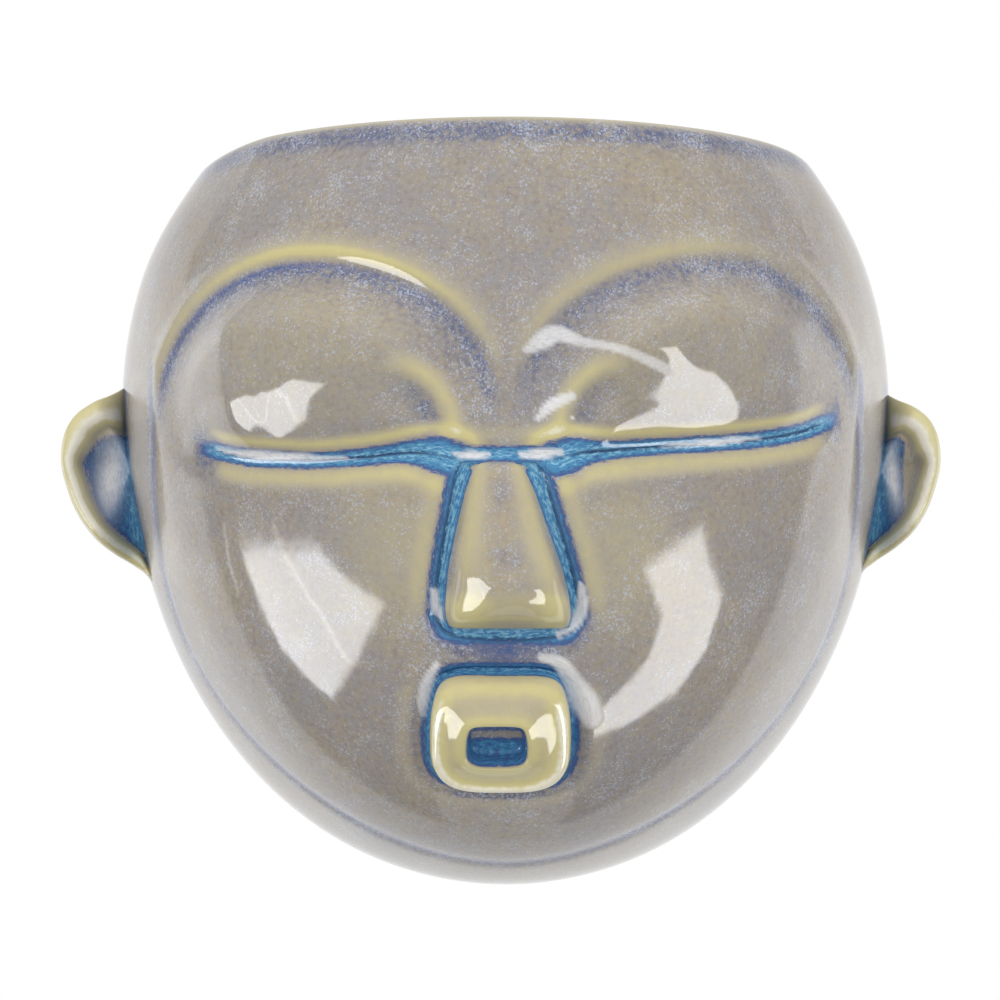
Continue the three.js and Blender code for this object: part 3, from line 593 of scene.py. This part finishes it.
def reactive_glaze():
    group = bpy.data.node_groups.new("reactive_glaze", "ShaderNodeTree")
    for name, kind in (("Place", "Vector"), ("Flow", "Vector"), ("Pool", "Float"), ("Veil", "Float"),
                       ("Thin", "Float"), ("Crease", "Float"), ("Milk", "Float")):
        group.interface.new_socket(name, in_out="INPUT", socket_type="NodeSocket" + kind)
    for name, kind in (("Color", "Color"), ("Roughness", "Float"), ("Height", "Float")):
        group.interface.new_socket(name, in_out="OUTPUT", socket_type="NodeSocket" + kind)
    given = add(group, "NodeGroupInput").outputs
    place = given["Place"]
    cloud = grain(group, place, 30.0, 2.0, 0.5)
    mottle = grain(group, place, 2.4, 5.0, 0.7)
    fleck = grain(group, place, 1.0, 2.0, 0.6)
    # Plain coat: tan and lavender-grey clouds with ochre flecks.
    warm = between(group, calc(group, "ADD", mottle, calc(group, "MULTIPLY", cloud, 0.6)), 0.6, 1.0)
    coat = mix(group, warm, tone(152, 148, 147), tone(169, 156, 131))
    coat = mix(group, between(group, fleck, 0.5, 0.7, 0.0, 0.55), coat, tone(160, 138, 106))
    # Violet veil where the coat is thicker, gathered by the mottle.
    ragged = calc(group, "MULTIPLY", calc(group, "SUBTRACT", mottle, 0.5), 1.4)
    tufts = calc(group, "ADD", ragged, calc(group, "MULTIPLY", calc(group, "SUBTRACT", fleck, 0.5), 2.6))
    veil = calc(group, "ADD", given["Veil"], calc(group, "MULTIPLY", tufts, given["Veil"]))
    veil = between(group, veil, 0.05, 1.0)
    coat = mix(group, veil, coat, tone(98, 104, 130))
    # Where the coat thins it turns warm and pale, then olive-yellow, then cream where the clay almost shows.
    uneven = calc(group, "MULTIPLY", calc(group, "MULTIPLY", ragged, 0.45), given["Thin"])
    lean = calc(group, "ADD", given["Thin"], uneven)
    coat = mix(group, between(group, lean, 0.0, 0.4, 0.0, 0.75), coat, tone(189, 179, 148))
    coat = mix(group, between(group, lean, 0.3, 0.8), coat, tone(206, 196, 142))
    coat = mix(group, between(group, lean, 0.85, 1.2), coat, tone(233, 228, 206))
    # Pale crystals float in the coat, crowded where it is thick and missing where it is thin.
    drift = calc(group, "MULTIPLY", grain(group, place, 9.0, 4.0, 0.65), 0.5)
    drift = calc(group, "ADD", drift, calc(group, "MULTIPLY", veil, 0.06))
    drift = calc(group, "SUBTRACT", drift, between(group, given["Thin"], 0.15, 0.6, 0.0, 0.16))
    snow = calc(group, "ADD", grain(group, place, 0.5, 2.0, 0.72), drift)
    coat = mix(group, between(group, snow, 0.78, 1.0, 0.0, 0.7), coat, tone(192, 198, 212))
    # Blue pools: violet at the brink, then navy, blue and cyan, with streaks that follow the groove.
    scale = (0.28 * MILLIMETRE, MILLIMETRE, MILLIMETRE)
    along = add(group, "ShaderNodeVectorMath", {0: given["Flow"], 1: scale}, operation="MULTIPLY")
    streak = grain(group, along.outputs[0], 0.42, 3.0, 0.7, 0.4)
    wavy = calc(group, "MULTIPLY", calc(group, "SUBTRACT", streak, 0.5), 3.2)
    depth = calc(group, "ADD", given["Pool"], calc(group, "MULTIPLY", wavy, given["Pool"]))
    blue = mix(group, between(group, depth, 0.12, 0.38), tone(112, 114, 150), tone(66, 96, 146))
    blue = mix(group, between(group, depth, 0.4, 0.8), blue, tone(74, 138, 182))
    blue = mix(group, between(group, depth, 0.85, 1.4), blue, tone(138, 190, 214))
    line = add(group, "ShaderNodeSeparateXYZ", {0: given["Flow"]}).outputs["Y"]
    line = calc(group, "ABSOLUTE", calc(group, "ADD", line, calc(group, "MULTIPLY", wavy, 0.35)))
    near = between(group, line, 0.08, 0.5, 1.0, 0.0)
    # The crease amount darkens the middle of a groove to navy.
    blue = mix(group, calc(group, "MULTIPLY", near, given["Crease"]), blue, tone(34, 56, 98))
    coat = mix(group, between(group, depth, 0.06, 0.34), coat, blue)
    # Painted highlight: pale patches where that coat is laid, lightly streaked.
    painted_glare = calc(group, "MULTIPLY", given["Milk"], between(group, streak, 0.3, 0.6, 0.7, 1.0))
    coat = mix(group, painted_glare, coat, tone(226, 225, 226))
    ends = add(group, "NodeGroupOutput", {"Color": coat})
    satin = between(group, given["Milk"], 0.0, 0.35, 0.0, 0.3)
    satin = calc(group, "ADD", between(group, mottle, 0.3, 0.8, 0.045, 0.11), satin)
    group.links.new(satin, ends.inputs["Roughness"])
    ripple = calc(group, "ADD", calc(group, "MULTIPLY", grain(group, place, 9.0, 2.0, 0.5), 0.9),
                  calc(group, "MULTIPLY", mottle, 0.05))
    group.links.new(ripple, ends.inputs["Height"])
    return group


GLAZE = reactive_glaze()


def glazed(name):
    material = bpy.data.materials.new(name)
    material.use_nodes = True
    tree = material.node_tree
    shader = tree.nodes["Principled BSDF"]
    shader.inputs["IOR"].default_value = 1.58
    amounts = {}
    for coat in GLAZE_COATS:
        amounts[coat.title()] = add(tree, "ShaderNodeAttribute", attribute_name=coat).outputs["Fac"]
    amounts["Flow"] = add(tree, "ShaderNodeAttribute", attribute_name="flow").outputs["Vector"]
    amounts["Place"] = add(tree, "ShaderNodeTexCoord").outputs["Object"]
    coats = add(tree, "ShaderNodeGroup", node_tree=GLAZE)
    for socket, value in amounts.items():
        tree.links.new(value, coats.inputs[socket])
    tree.links.new(coats.outputs["Color"], shader.inputs["Base Color"])
    tree.links.new(coats.outputs["Roughness"], shader.inputs["Roughness"])
    ripple = {"Strength": 0.05, "Distance": MILLIMETRE, "Height": coats.outputs["Height"]}
    tree.links.new(add(tree, "ShaderNodeBump", ripple).outputs["Normal"], shader.inputs["Normal"])
    return material


GLAZED_FACE = glazed("glaze_on_face")
face = draped_grid("glazed_face_shell", 280, len(FACE_ROWS[0]) - 1, place_face)
face.data.materials.append(GLAZED_FACE)
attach(face, "root")
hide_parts("face_shell")

# Back wall: a flat slab with the head's outline that closes the pot, luted on behind the face shell.
# It is the same glazed stoneware, wiped bare at the rear, where the pot stood on the kiln shelf, and
# it has a keyhole near the top for one wall screw.
SLOT_HALF = 2.6
ENTRY_RADIUS = 5.5
ENTRY_DROP = 11.0
KEYHOLE_ROOM = 1.5  # round the keyhole, where the slab's large rounding stops
REAR_ROUNDING = 2.4
SMALL_ROUNDING = 0.6
CORNER_SHARE = 0.86  # of each half outline, from the chin to the corner of the rim


def slab_outline(loop):
    share = np.linspace(-1, 1, len(loop) + 1)[:-1]
    top = math.asin(RIM_RISE / CROWN_RISE)
    turn = -math.pi / 2 + np.minimum(np.abs(share) / CORNER_SHARE, 1.0) * (top + math.pi / 2)
    height = np.where(turn < 0, CHIN_DROP * np.sin(turn), CROWN_RISE * np.sin(turn))
    along_rim = np.clip((np.abs(share) - CORNER_SHARE) / (1 - CORNER_SHARE), 0, 1)
    across = np.sign(share) * half_width(height) * (1 - along_rim)
    height = height - rim_sag(across, height)
    for vert, x, z in zip(loop, across, height + WIDEST_Z):
        vert.co = (x * MILLIMETRE, 0.0, z * MILLIMETRE)


def keyhole_outline(loop):
    lean = math.asin(SLOT_HALF / ENTRY_RADIUS)
    arc = len(loop) // 3
    for i, vert in enumerate(loop):
        if i < arc:
            turn = math.pi * i / (arc - 1)
            x, z = SLOT_HALF * math.cos(turn), SLOT_HALF * math.sin(turn)
        else:
            share = (i - arc) / (len(loop) - arc - 1)
            turn = math.pi / 2 + lean + (2 * math.pi - 2 * lean) * share
            x, z = ENTRY_RADIUS * math.cos(turn), ENTRY_RADIUS * math.sin(turn) - ENTRY_DROP
        vert.co = (x * MILLIMETRE, 0.0, z * MILLIMETRE)


def beside_keyhole(edge):
    across = max(abs(vert.co.x) for vert in edge.verts) / MILLIMETRE
    height = edge.verts[0].co.z / MILLIMETRE
    low, high = -ENTRY_DROP - ENTRY_RADIUS - KEYHOLE_ROOM, SLOT_HALF + KEYHOLE_ROOM
    return across < ENTRY_RADIUS + KEYHOLE_ROOM and low < height < high


def round_edges(work, edges, rounding, segments):
    bmesh.ops.bevel(work, geom=edges, offset=rounding * MILLIMETRE, offset_type="OFFSET", affect="EDGES",
                    segments=segments, profile=0.5, material=-1)


work = bmesh.new()
slab_outline(bmesh.ops.create_circle(work, segments=240, radius=1.0)["verts"])
keyhole_outline(bmesh.ops.create_circle(work, segments=54, radius=0.5)["verts"])
bmesh.ops.triangle_fill(work, edges=work.edges[:], use_beauty=True, use_dissolve=True)
grown = bmesh.ops.extrude_face_region(work, geom=work.faces[:])["geom"]
front = [g for g in grown if isinstance(g, bmesh.types.BMVert)]
bmesh.ops.translate(work, verts=front, vec=(0.0, -BACK_THICKNESS * MILLIMETRE, 0.0))
bmesh.ops.recalc_face_normals(work, faces=work.faces)
rear = [e for e in work.edges if all(abs(v.co.y) < 1e-7 for v in e.verts) and e.calc_face_angle(0) > 0.8]
round_edges(work, [e for e in rear if not beside_keyhole(e)], REAR_ROUNDING, 5)
round_edges(work, [e for e in work.edges if e.calc_face_angle(0) > 1.2], SMALL_ROUNDING, 2)
bmesh.ops.triangulate(work, faces=[f for f in work.faces if len(f.verts) > 4])
for polygon in work.faces:
    polygon.smooth = True
mesh = bpy.data.meshes.new("glazed_back_wall")
work.to_mesh(mesh)
work.free()
mesh.set_sharp_from_angle(angle=math.radians(40))
back = bpy.data.objects.new("glazed_back_wall", mesh)
bpy.context.scene.collection.objects.link(back)

GLAZED_BACK = glazed("glaze_on_back_wall")
tree = GLAZED_BACK.node_tree
shader = tree.nodes["Principled BSDF"]
place = add(tree, "ShaderNodeTexCoord").outputs["Object"]
depth = add(tree, "ShaderNodeSeparateXYZ", {0: place}).outputs["Y"]
wander = calc(tree, "MULTIPLY", calc(tree, "SUBTRACT", grain(tree, place, 12.0, 3.0), 0.5), 0.0012)
bare = between(tree, calc(tree, "ADD", depth, wander), -0.0012, -0.0006)
clay = mix(tree, grain(tree, place, 1.4, 4.0, 0.7), tone(196, 180, 156), tone(222, 209, 188))
clay = mix(tree, between(tree, grain(tree, place, 1.1, 1.0), 0.68, 0.74, 0.0, 0.6), clay, tone(140, 112, 84))
coats = next(n for n in tree.nodes if n.type == "GROUP")
tree.links.new(mix(tree, bare, coats.outputs["Color"], clay), shader.inputs["Base Color"])
dry = add(tree, "ShaderNodeMix", {0: bare, 2: coats.outputs["Roughness"], 3: 0.75}).outputs[0]
tree.links.new(dry, shader.inputs["Roughness"])
back.data.materials.append(GLAZED_BACK)
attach(back, "root")
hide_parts("back_wall")

# Nose: a wedge of clay laid on the face under the bridge, with a flat front, soft edges and a cut-off tip.
# It is luted on and glazed with the face, so blue glaze fills the crease round its foot and its edges
# break yellow. Its foot is sunk in the face.
NOSE_LINE = [  # height, half width at the foot, half width in front, how far it stands out
    [-12.4, 4.8, 2.4, -1.2], [-13.7, 6.3, 3.8, 1.4], [-17.3, 7.5, 5.0, 3.0], [-22.7, 8.8, 6.3, 4.8],
    [-28.6, 10.3, 7.6, 6.5], [-32.6, 11.3, 8.5, 7.7], [-35.4, 11.8, 9.1, 8.5], [-37.5, 12.1, 9.5, 8.7],
    [-39.5, 12.4, 9.8, 8.2], [-41.3, 12.5, 10.0, 7.0], [-42.8, 12.4, 10.1, 5.2], [-43.9, 12.2, 10.0, 3.1],
    [-44.7, 11.8, 9.7, 0.8], [-44.6, 10.8, 9.0, -3.0],
]
NOSE_ROOT = 3.4
NOSE_ROUTE = smooth_route(NOSE_LINE, 120)


def place_nose(u, v):
    height, foot, front, stands = NOSE_ROUTE[np.rint(v * (len(NOSE_ROUTE) - 1)).astype(int)].T
    turn = math.pi * u
    square = 0.62 + 0.3 * bump(height, -39.0, 5.0)
    x = np.sign(np.cos(turn)) * np.abs(np.cos(turn)) ** square
    out = np.abs(np.sin(turn)) ** square
    reach = front + (foot - front) * (1 - out)
    middle = nose_middle(height)
    base = -on_face(middle, height)[:, 1]
    stand = -NOSE_ROOT + (stands + NOSE_ROOT) * out
    lean = 1.4 * out * bump(height, -38.0, 6.0)
    points = np.stack([middle + reach * x + lean, -(base + stand), height], -1)
    corner = bump(np.abs(x), 0.88, 0.34) * ease(out, 0.3, 0.8)
    lower = ease(-height, 36.0, 40.0)
    over_face = stand + (reach * x) ** 2 / HEAD_HALF_WIDTH
    pool = np.clip(0.95 - ease(over_face, -1.2, 0.5), 0, 1) * ease(-height, 13.6, 15.0)
    thin = np.clip(0.1 + 0.42 * corner + 0.38 * lower, 0, 0.75) * (1 - pool)
    veil = (0.4 * bump(height, -19.0, 4.0) + 0.4 * bump(height, -31.0, 3.6)) * bump(x, 0.05, 0.5)
    glaze = dict(pool=pool, veil=veil, thin=thin * (1 - veil), crease=0 * u, milk=0 * u)
    return points, glaze, np.stack([-height, over_face, 0 * u], -1)


nose = draped_grid("glazed_nose", 96, len(NOSE_ROUTE) - 1, place_nose)
nose.data.materials.append(GLAZED_FACE)
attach(nose, "root")
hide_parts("nose")

# Mouth: a rounded square block of clay, luted on below the nose, with a raised ring round a square hole.
# Its long upper slope and its edges are yellow where the glaze is thin, and the hole holds a blue pool.
MOUTH_LINE = [  # half width, half height, how far it stands out, squareness
    [13.3, 12.0, -5.0, 4.4], [13.7, 12.4, -1.0, 4.4], [13.75, 12.45, 0.9, 4.4], [13.5, 12.2, 2.3, 4.4],
    [13.0, 11.7, 3.4, 4.4], [12.2, 10.9, 4.0, 4.2], [11.2, 9.9, 4.2, 4.0], [9.8, 8.6, 4.7, 3.8],
    [8.5, 7.4, 5.4, 3.6], [7.4, 6.4, 6.0, 3.8], [6.6, 5.6, 6.3, 4.4], [6.0, 5.05, 6.1, 5.0],
    [5.5, 4.6, 4.2, 5.0], [5.1, 4.2, 1.8, 4.6], [3.4, 2.8, 1.2, 3.6], [0.001, 0.001, 1.2, 2.6],
]
MOUTH_ROUTE = smooth_route(MOUTH_LINE, 150)


def place_mouth(u, v):
    a, b, out, square = MOUTH_ROUTE[np.rint(v * (len(MOUTH_ROUTE) - 1)).astype(int)].T
    turn = 2 * math.pi * u
    step = v * (len(MOUTH_LINE) - 1)
    x, z = mouth_outline(turn, np.maximum(a, 0.001), np.maximum(b, 0.001), square)
    inward = ease(step, 4.0, 9.0)
    x, z = x - 0.7 * inward, z - 0.35 * inward
    upper = ease(np.sin(turn), 0.2, 0.9)
    out = out + upper * (0.35 * bump(step, 6.6, 1.8) - 0.3 * bump(step, 4.4, 1.6)) + 0.18 * z * inward
    cos, sin = math.cos(MOUTH["tilt"]), math.sin(MOUTH["tilt"])
    centre = on_face(np.array(MOUTH["x"]), np.array(MOUTH["height"]))
    points = centre + np.stack([x, -out * cos - z * sin, z * cos - out * sin], -1)
    over_face = on_face(points[:, 0], points[:, 2])[:, 1] - points[:, 1]
    hole = ease(step, 11.0, 11.9)
    at_foot = np.clip(0.9 - ease(over_face, -0.4, 1.4), 0, 1) * (step < 5)
    pool = np.maximum(at_foot, hole * (0.8 - 0.25 * bump(step, 12.5, 0.8)))
    pool = pool * (1 - 0.95 * ease(step, 12.7, 13.3) * bump(z, 0.1, 1.5))
    border = bump(step, 4.8, 1.4) * (1 - 0.6 * upper)
    ring = bump(step, 9.4, 1.1)
    slope = upper * bump(step, 6.2, 1.8)
    thin = np.clip(0.52 + 0.68 * border + 0.3 * ring - 0.2 * slope, 0, 1.15)
    # In the hole the yellow is taken out and a violet-grey coat laid on: painted shade, over the blue pool.
    thin = thin * (1 - np.clip(pool * 1.3, 0, 1)) * (1 - 0.8 * hole)
    glaze = dict(pool=pool, veil=0.2 * slope + 0.4 * hole, thin=thin, crease=0 * u, milk=0 * u)
    return points, glaze, np.stack([x, z * 0.4 + out, 0 * u], -1)


mouth = draped_grid("glazed_mouth", 128, len(MOUTH_ROUTE) - 1, place_mouth)
mouth.data.materials.append(GLAZED_FACE)
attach(mouth, "root")
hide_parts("mouth")

# Ears: shallow cups of clay luted to the sides of the head, with a rolled rim, open towards the viewer.
# The rim is yellow, and a blue pool lies in the cup where it meets the head. The left one reaches further.
EARS = {
    # Shares of the full reach and length. Counted out from the side of the head, the next two keys are the
    # middle and width of the cup's painted highlight, and pool_end where the blue stops, on the left beyond
    # the ear.
    "ear_left": dict(side=-1, reach=1.0, length=1.0, milk=5.8, milk_width=3.0, pool_end=100.0),
    "ear_right": dict(side=1, reach=0.87, length=0.95, milk=4.2, milk_width=1.5, pool_end=5.6),
}
EAR_OUTLINE = [  # how far out from the side of the head, height
    [-8, 6.0], [-2.5, 8.6], [1.6, 6.6], [3.6, 4.1], [6.0, 2.2], [9.2, 0.5], [12.4, -1.7], [14.5, -4.6],
    [15.6, -8.1], [15.8, -12.3], [14.9, -16.5], [12.8, -22.1], [9.6, -27.0], [5.4, -31.2], [1.5, -34.0],
    [-1.0, -35.8], [-2.9, -38.2], [-5.5, -41.5], [-9, -38.0], [-11, -27.0], [-11, -14.0], [-10, 0.0],
]
EAR_SIDE = 78.0
EAR_MIDDLE = (1.5, -13.5)
EAR_FOOT = 8.0  # nearest distance of an ear from the wall
EAR_RAYS = 128
EAR_LINE = [  # how far inside the outline, share of the way to the middle, distance from the wall
    [9.5, 0, 8.6], [7.6, 0, 9.4], [4.6, 0, 13.0], [2.0, 0, 18.5], [0.5, 0, 23.5], [0.0, 0, 26.8],
    [0.35, 0, 29.2], [1.1, 0, 30.7], [2.0, 0, 31.0], [2.8, 0, 30.4], [3.4, 0, 29.2], [3.9, 0, 27.4],
    [4.5, 0, 25.4], [5.0, 0.1, 23.8], [5.0, 0.4, 22.6], [5.0, 1.0, 22.0],
]
EAR_ROUTE = smooth_route(EAR_LINE, 120)


# Towards the head the rim sinks back to the wall, more so at the top, and the floor of the cup is flat.
def ear_placer(side, reach, length, milk, milk_width, pool_end):
    around = smooth_route(EAR_OUTLINE, EAR_RAYS, closed=True)
    around = (around - EAR_MIDDLE) * [1.0, length] + EAR_MIDDLE
    around[:, 0] = np.where(around[:, 0] > 0, around[:, 0] * reach, around[:, 0])
    spokes = around - EAR_MIDDLE
    radius = np.linalg.norm(spokes, axis=1)

    def place(u, v):
        inset, share, off = EAR_ROUTE[np.rint(v * (len(EAR_ROUTE) - 1)).astype(int)].T
        ray = np.rint(u * EAR_RAYS).astype(int)
        step = v * (len(EAR_LINE) - 1)
        upper = ease(spokes[ray, 1] / radius[ray], 0.1, 0.6)
        root = 1 - ease(around[ray, 0], 1.0, 9.0)
        inset = inset * (1 + upper * (0.5 + 1.4 * root) * (step > 6))
        sink = (0.46 + 0.22 * upper) * root * (1 - share) + 0.2 * share
        off = off - sink * (off - EAR_FOOT)
        left = np.maximum(radius[ray] - inset, 0.0) * (1 - share)
        spot = np.array(EAR_MIDDLE) + spokes[ray] / radius[ray, None] * left[:, None]
        x, height = EAR_SIDE + spot[:, 0], spot[:, 1]
        cup = ease(step, 11.0, 13.0)
        off = off + cup * (0.45 * np.clip(9.0 - spot[:, 0], 0, 16) + 0.12 * (height - EAR_MIDDLE[1]))
        points = np.stack([side * x, -off, height], -1)
        beside = x - half_width(height) * np.sqrt(np.clip(1 - (off / head_depth(height)) ** 2, 0, 1))
        top = ease(height, -8.5, -4.5)
        # Painted highlight: a pale patch in the middle of the cup and a paler crest on the rim, for mirrored
        # light.
        milky = bump(spot[:, 0] + 0.12 * (height + 15.0), milk, milk_width) * bump(height, -15.0, 8.0)
        pool = cup * (0.45 + 0.45 * bump(beside, 0.0, 2.6)) * (1 - top)
        pool = pool * (1 - 0.85 * cup * ease(spot[:, 0], pool_end, pool_end + 1.2))
        seam = (1 - ease(beside, 0.0, 1.2)) * (step < 11)
        crest = bump(step, 8.4, 1.3)
        thin = np.clip(0.62 + 0.6 * crest - 0.3 * ease(step, 10.0, 11.5), 0, 1.2)
        thin = thin * (1 - np.clip(1.3 * pool, 0, 1)) * (1 - 0.6 * seam)
        milky = cup * milky + 0.3 * crest * (1 - root)
        glaze = dict(pool=pool, veil=0.3 * cup + 0.45 * seam, thin=thin, crease=0 * u, milk=milky)
        return points, glaze, np.stack([height, beside, 0 * u], -1)

    return place


for node, shape in EARS.items():
    ear = draped_grid("glazed_" + node, EAR_RAYS, len(EAR_ROUTE) - 1, ear_placer(**shape))
    ear.data.materials.append(GLAZED_FACE)
    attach(ear, "root")
    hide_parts(node)

# Stage: a pale floor well below the hanging pot, a white surround that is dimmer on the viewer's side,
# bright panes low at both sides that the glaze mirrors, and a camera straight in front at eye height.
FLOOR_RADIUS = 350.0
FLOOR_LEVEL = -1100.0
work = bmesh.new()
bmesh.ops.create_circle(work, cap_ends=True, segments=96, radius=FLOOR_RADIUS * MILLIMETRE)
bmesh.ops.translate(work, verts=work.verts, vec=(0.0, 0.0, FLOOR_LEVEL * MILLIMETRE))
mesh = bpy.data.meshes.new("floor")
work.to_mesh(mesh)
work.free()
floor = bpy.data.objects.new("floor", mesh)
bpy.context.scene.collection.objects.link(floor)
paint = bpy.data.materials.new("pale_floor")
paint.use_nodes = True
paint.node_tree.nodes["Principled BSDF"].inputs["Base Color"].default_value = tone(236, 236, 236)
paint.node_tree.nodes["Principled BSDF"].inputs["Roughness"].default_value = 0.9
floor.data.materials.append(paint)

# The surround: white to the eye, a white sheet behind the pot in reflections, and even light from all round.
SHEET_STRENGTH = 1.5
ROOM_STRENGTH = 0.3
PANE_STRENGTH = 7.0
PANE_SOFTNESS = 0.025
PANES = (  # corners in degrees to the right and up, one pane on the left and three that join on the right
    [(-97.5, -14.4), (-66, -15.5), (-45, -24.5), (-60, -33), (-88, -40.5), (-97, -28)],
    [(48, -18), (67, -13.5), (83, -21), (84, -25), (60, -26)],
    [(60, -22), (82, -20), (86, -30), (84, -41), (62, -37)],
    [(62, -34), (85, -37), (73, -50), (54, -60), (46, -54)],
)
STREAK_STRENGTH = 3.0
STREAK_SOFTNESS = 0.012
STREAKS = (  # a thin bright bar across the left pane, in two lengths, and a short one beside it
    [(-82, -14.5), (-80, -14.5), (-71.3, -24.6), (-73.3, -24.6)],
    [(-73.3, -24.2), (-71.3, -24.2), (-68, -35.5), (-70, -35.5)],
    [(-103.6, -12), (-102.4, -12), (-104.9, -18.2), (-106.1, -18.2)],
)
world = bpy.data.worlds.new("white_surround")
bpy.context.scene.world = world
world.use_nodes = True
tree = world.node_tree
tree.nodes.clear()
sight = add(tree, "ShaderNodeTexCoord").outputs["Generated"]
right, away, up = add(tree, "ShaderNodeSeparateXYZ", {0: sight}).outputs


def pane(corners, soft):
    turns = np.radians(corners)
    flat = np.cos(turns[:, 1])
    ways = np.stack([np.sin(turns[:, 0]) * flat, -np.cos(turns[:, 0]) * flat, np.sin(turns[:, 1])], -1)
    middle = ways.mean(0)
    lit = 1.0
    for a, b in zip(ways, np.roll(ways, -1, 0)):
        side = np.cross(a, b)
        side *= np.sign(side @ middle) / np.linalg.norm(side)
        inside = add(tree, "ShaderNodeVectorMath", {0: sight, 1: tuple(side)}, operation="DOT_PRODUCT")
        lit = calc(tree, "MINIMUM", inside.outputs["Value"], lit)
    return between(tree, lit, -soft / 2, soft)


def bright(shapes, soft, strength):
    lit = 0.0
    for corners in shapes:
        lit = calc(tree, "MAXIMUM", pane(corners, soft), lit)
    return calc(tree, "MULTIPLY", lit, strength)


# The sheet's edge lies further back towards the top and has a soft bay at eye level on the left.
edge = between(tree, up, -0.1, 0.4, 0.32, 0.57)
edge = calc(tree, "SUBTRACT", edge, calc(tree, "MULTIPLY", right, 0.02))
bay = calc(tree, "MULTIPLY", between(tree, up, -0.14, -0.04), between(tree, up, 0.06, 0.16, 1.0, 0.0))
bay = calc(tree, "MULTIPLY", bay, between(tree, right, -0.5, -0.3, 0.14, 0.0))
past = calc(tree, "SUBTRACT", away, calc(tree, "ADD", edge, bay))
start, end = calc(tree, "SUBTRACT", -0.03, bay), calc(tree, "ADD", 0.04, bay)
sheet = between(tree, past, start, end, 0.0, 0.75)
sheet = calc(tree, "ADD", sheet, between(tree, past, 0.05, 0.4, 0.0, 0.25))
# It is dimmer straight behind the pot, high up and far down.
fall = between(tree, away, 0.6, 1.0, 1.0, 0.45)
fall = calc(tree, "MULTIPLY", fall, between(tree, up, 0.05, 0.38, 1.0, 0.35))
fall = calc(tree, "MULTIPLY", fall, between(tree, up, -0.95, -0.4, 0.65, 1.0))
sheet = calc(tree, "MULTIPLY", calc(tree, "MULTIPLY", sheet, fall), SHEET_STRENGTH)
lights = calc(tree, "ADD", bright(PANES, PANE_SOFTNESS, PANE_STRENGTH),
              bright(STREAKS, STREAK_SOFTNESS, STREAK_STRENGTH))
mirrored = calc(tree, "ADD", calc(tree, "ADD", sheet, ROOM_STRENGTH), lights)
# The even light comes mostly from above and a little more from the viewer's side.
even = calc(tree, "MULTIPLY", between(tree, up, -1.0, 0.2, 0.14, 1.15),
            calc(tree, "SUBTRACT", 1.0, calc(tree, "MULTIPLY", away, 0.32)))
path = add(tree, "ShaderNodeLightPath").outputs
light = add(tree, "ShaderNodeMix", {0: path["Is Glossy Ray"], 2: even, 3: mirrored}).outputs[0]
strength = add(tree, "ShaderNodeMix", {0: path["Is Camera Ray"], 2: light, 3: 1.0}).outputs[0]
surround = add(tree, "ShaderNodeBackground", {"Color": (1, 1, 1, 1), "Strength": strength})
add(tree, "ShaderNodeOutputWorld", {"Surface": surround.outputs[0]})

EYE_RIGHT = -1.19
EYE_AWAY = 700.0
EYE_DROP = 20.0  # below the head's widest level
camera = bpy.data.objects.new("camera", bpy.data.cameras.new("camera"))
camera.data.lens = 114.8
camera.data.sensor_width = 36.0
camera.data.clip_start = 0.01
camera.location = (EYE_RIGHT * MILLIMETRE, -EYE_AWAY * MILLIMETRE, (WIDEST_Z - EYE_DROP) * MILLIMETRE)
camera.rotation_euler = (math.pi / 2, 0.0, 0.0)
bpy.context.scene.collection.objects.link(camera)
bpy.context.scene.camera = camera
bpy.context.scene.view_settings.view_transform = "Standard"
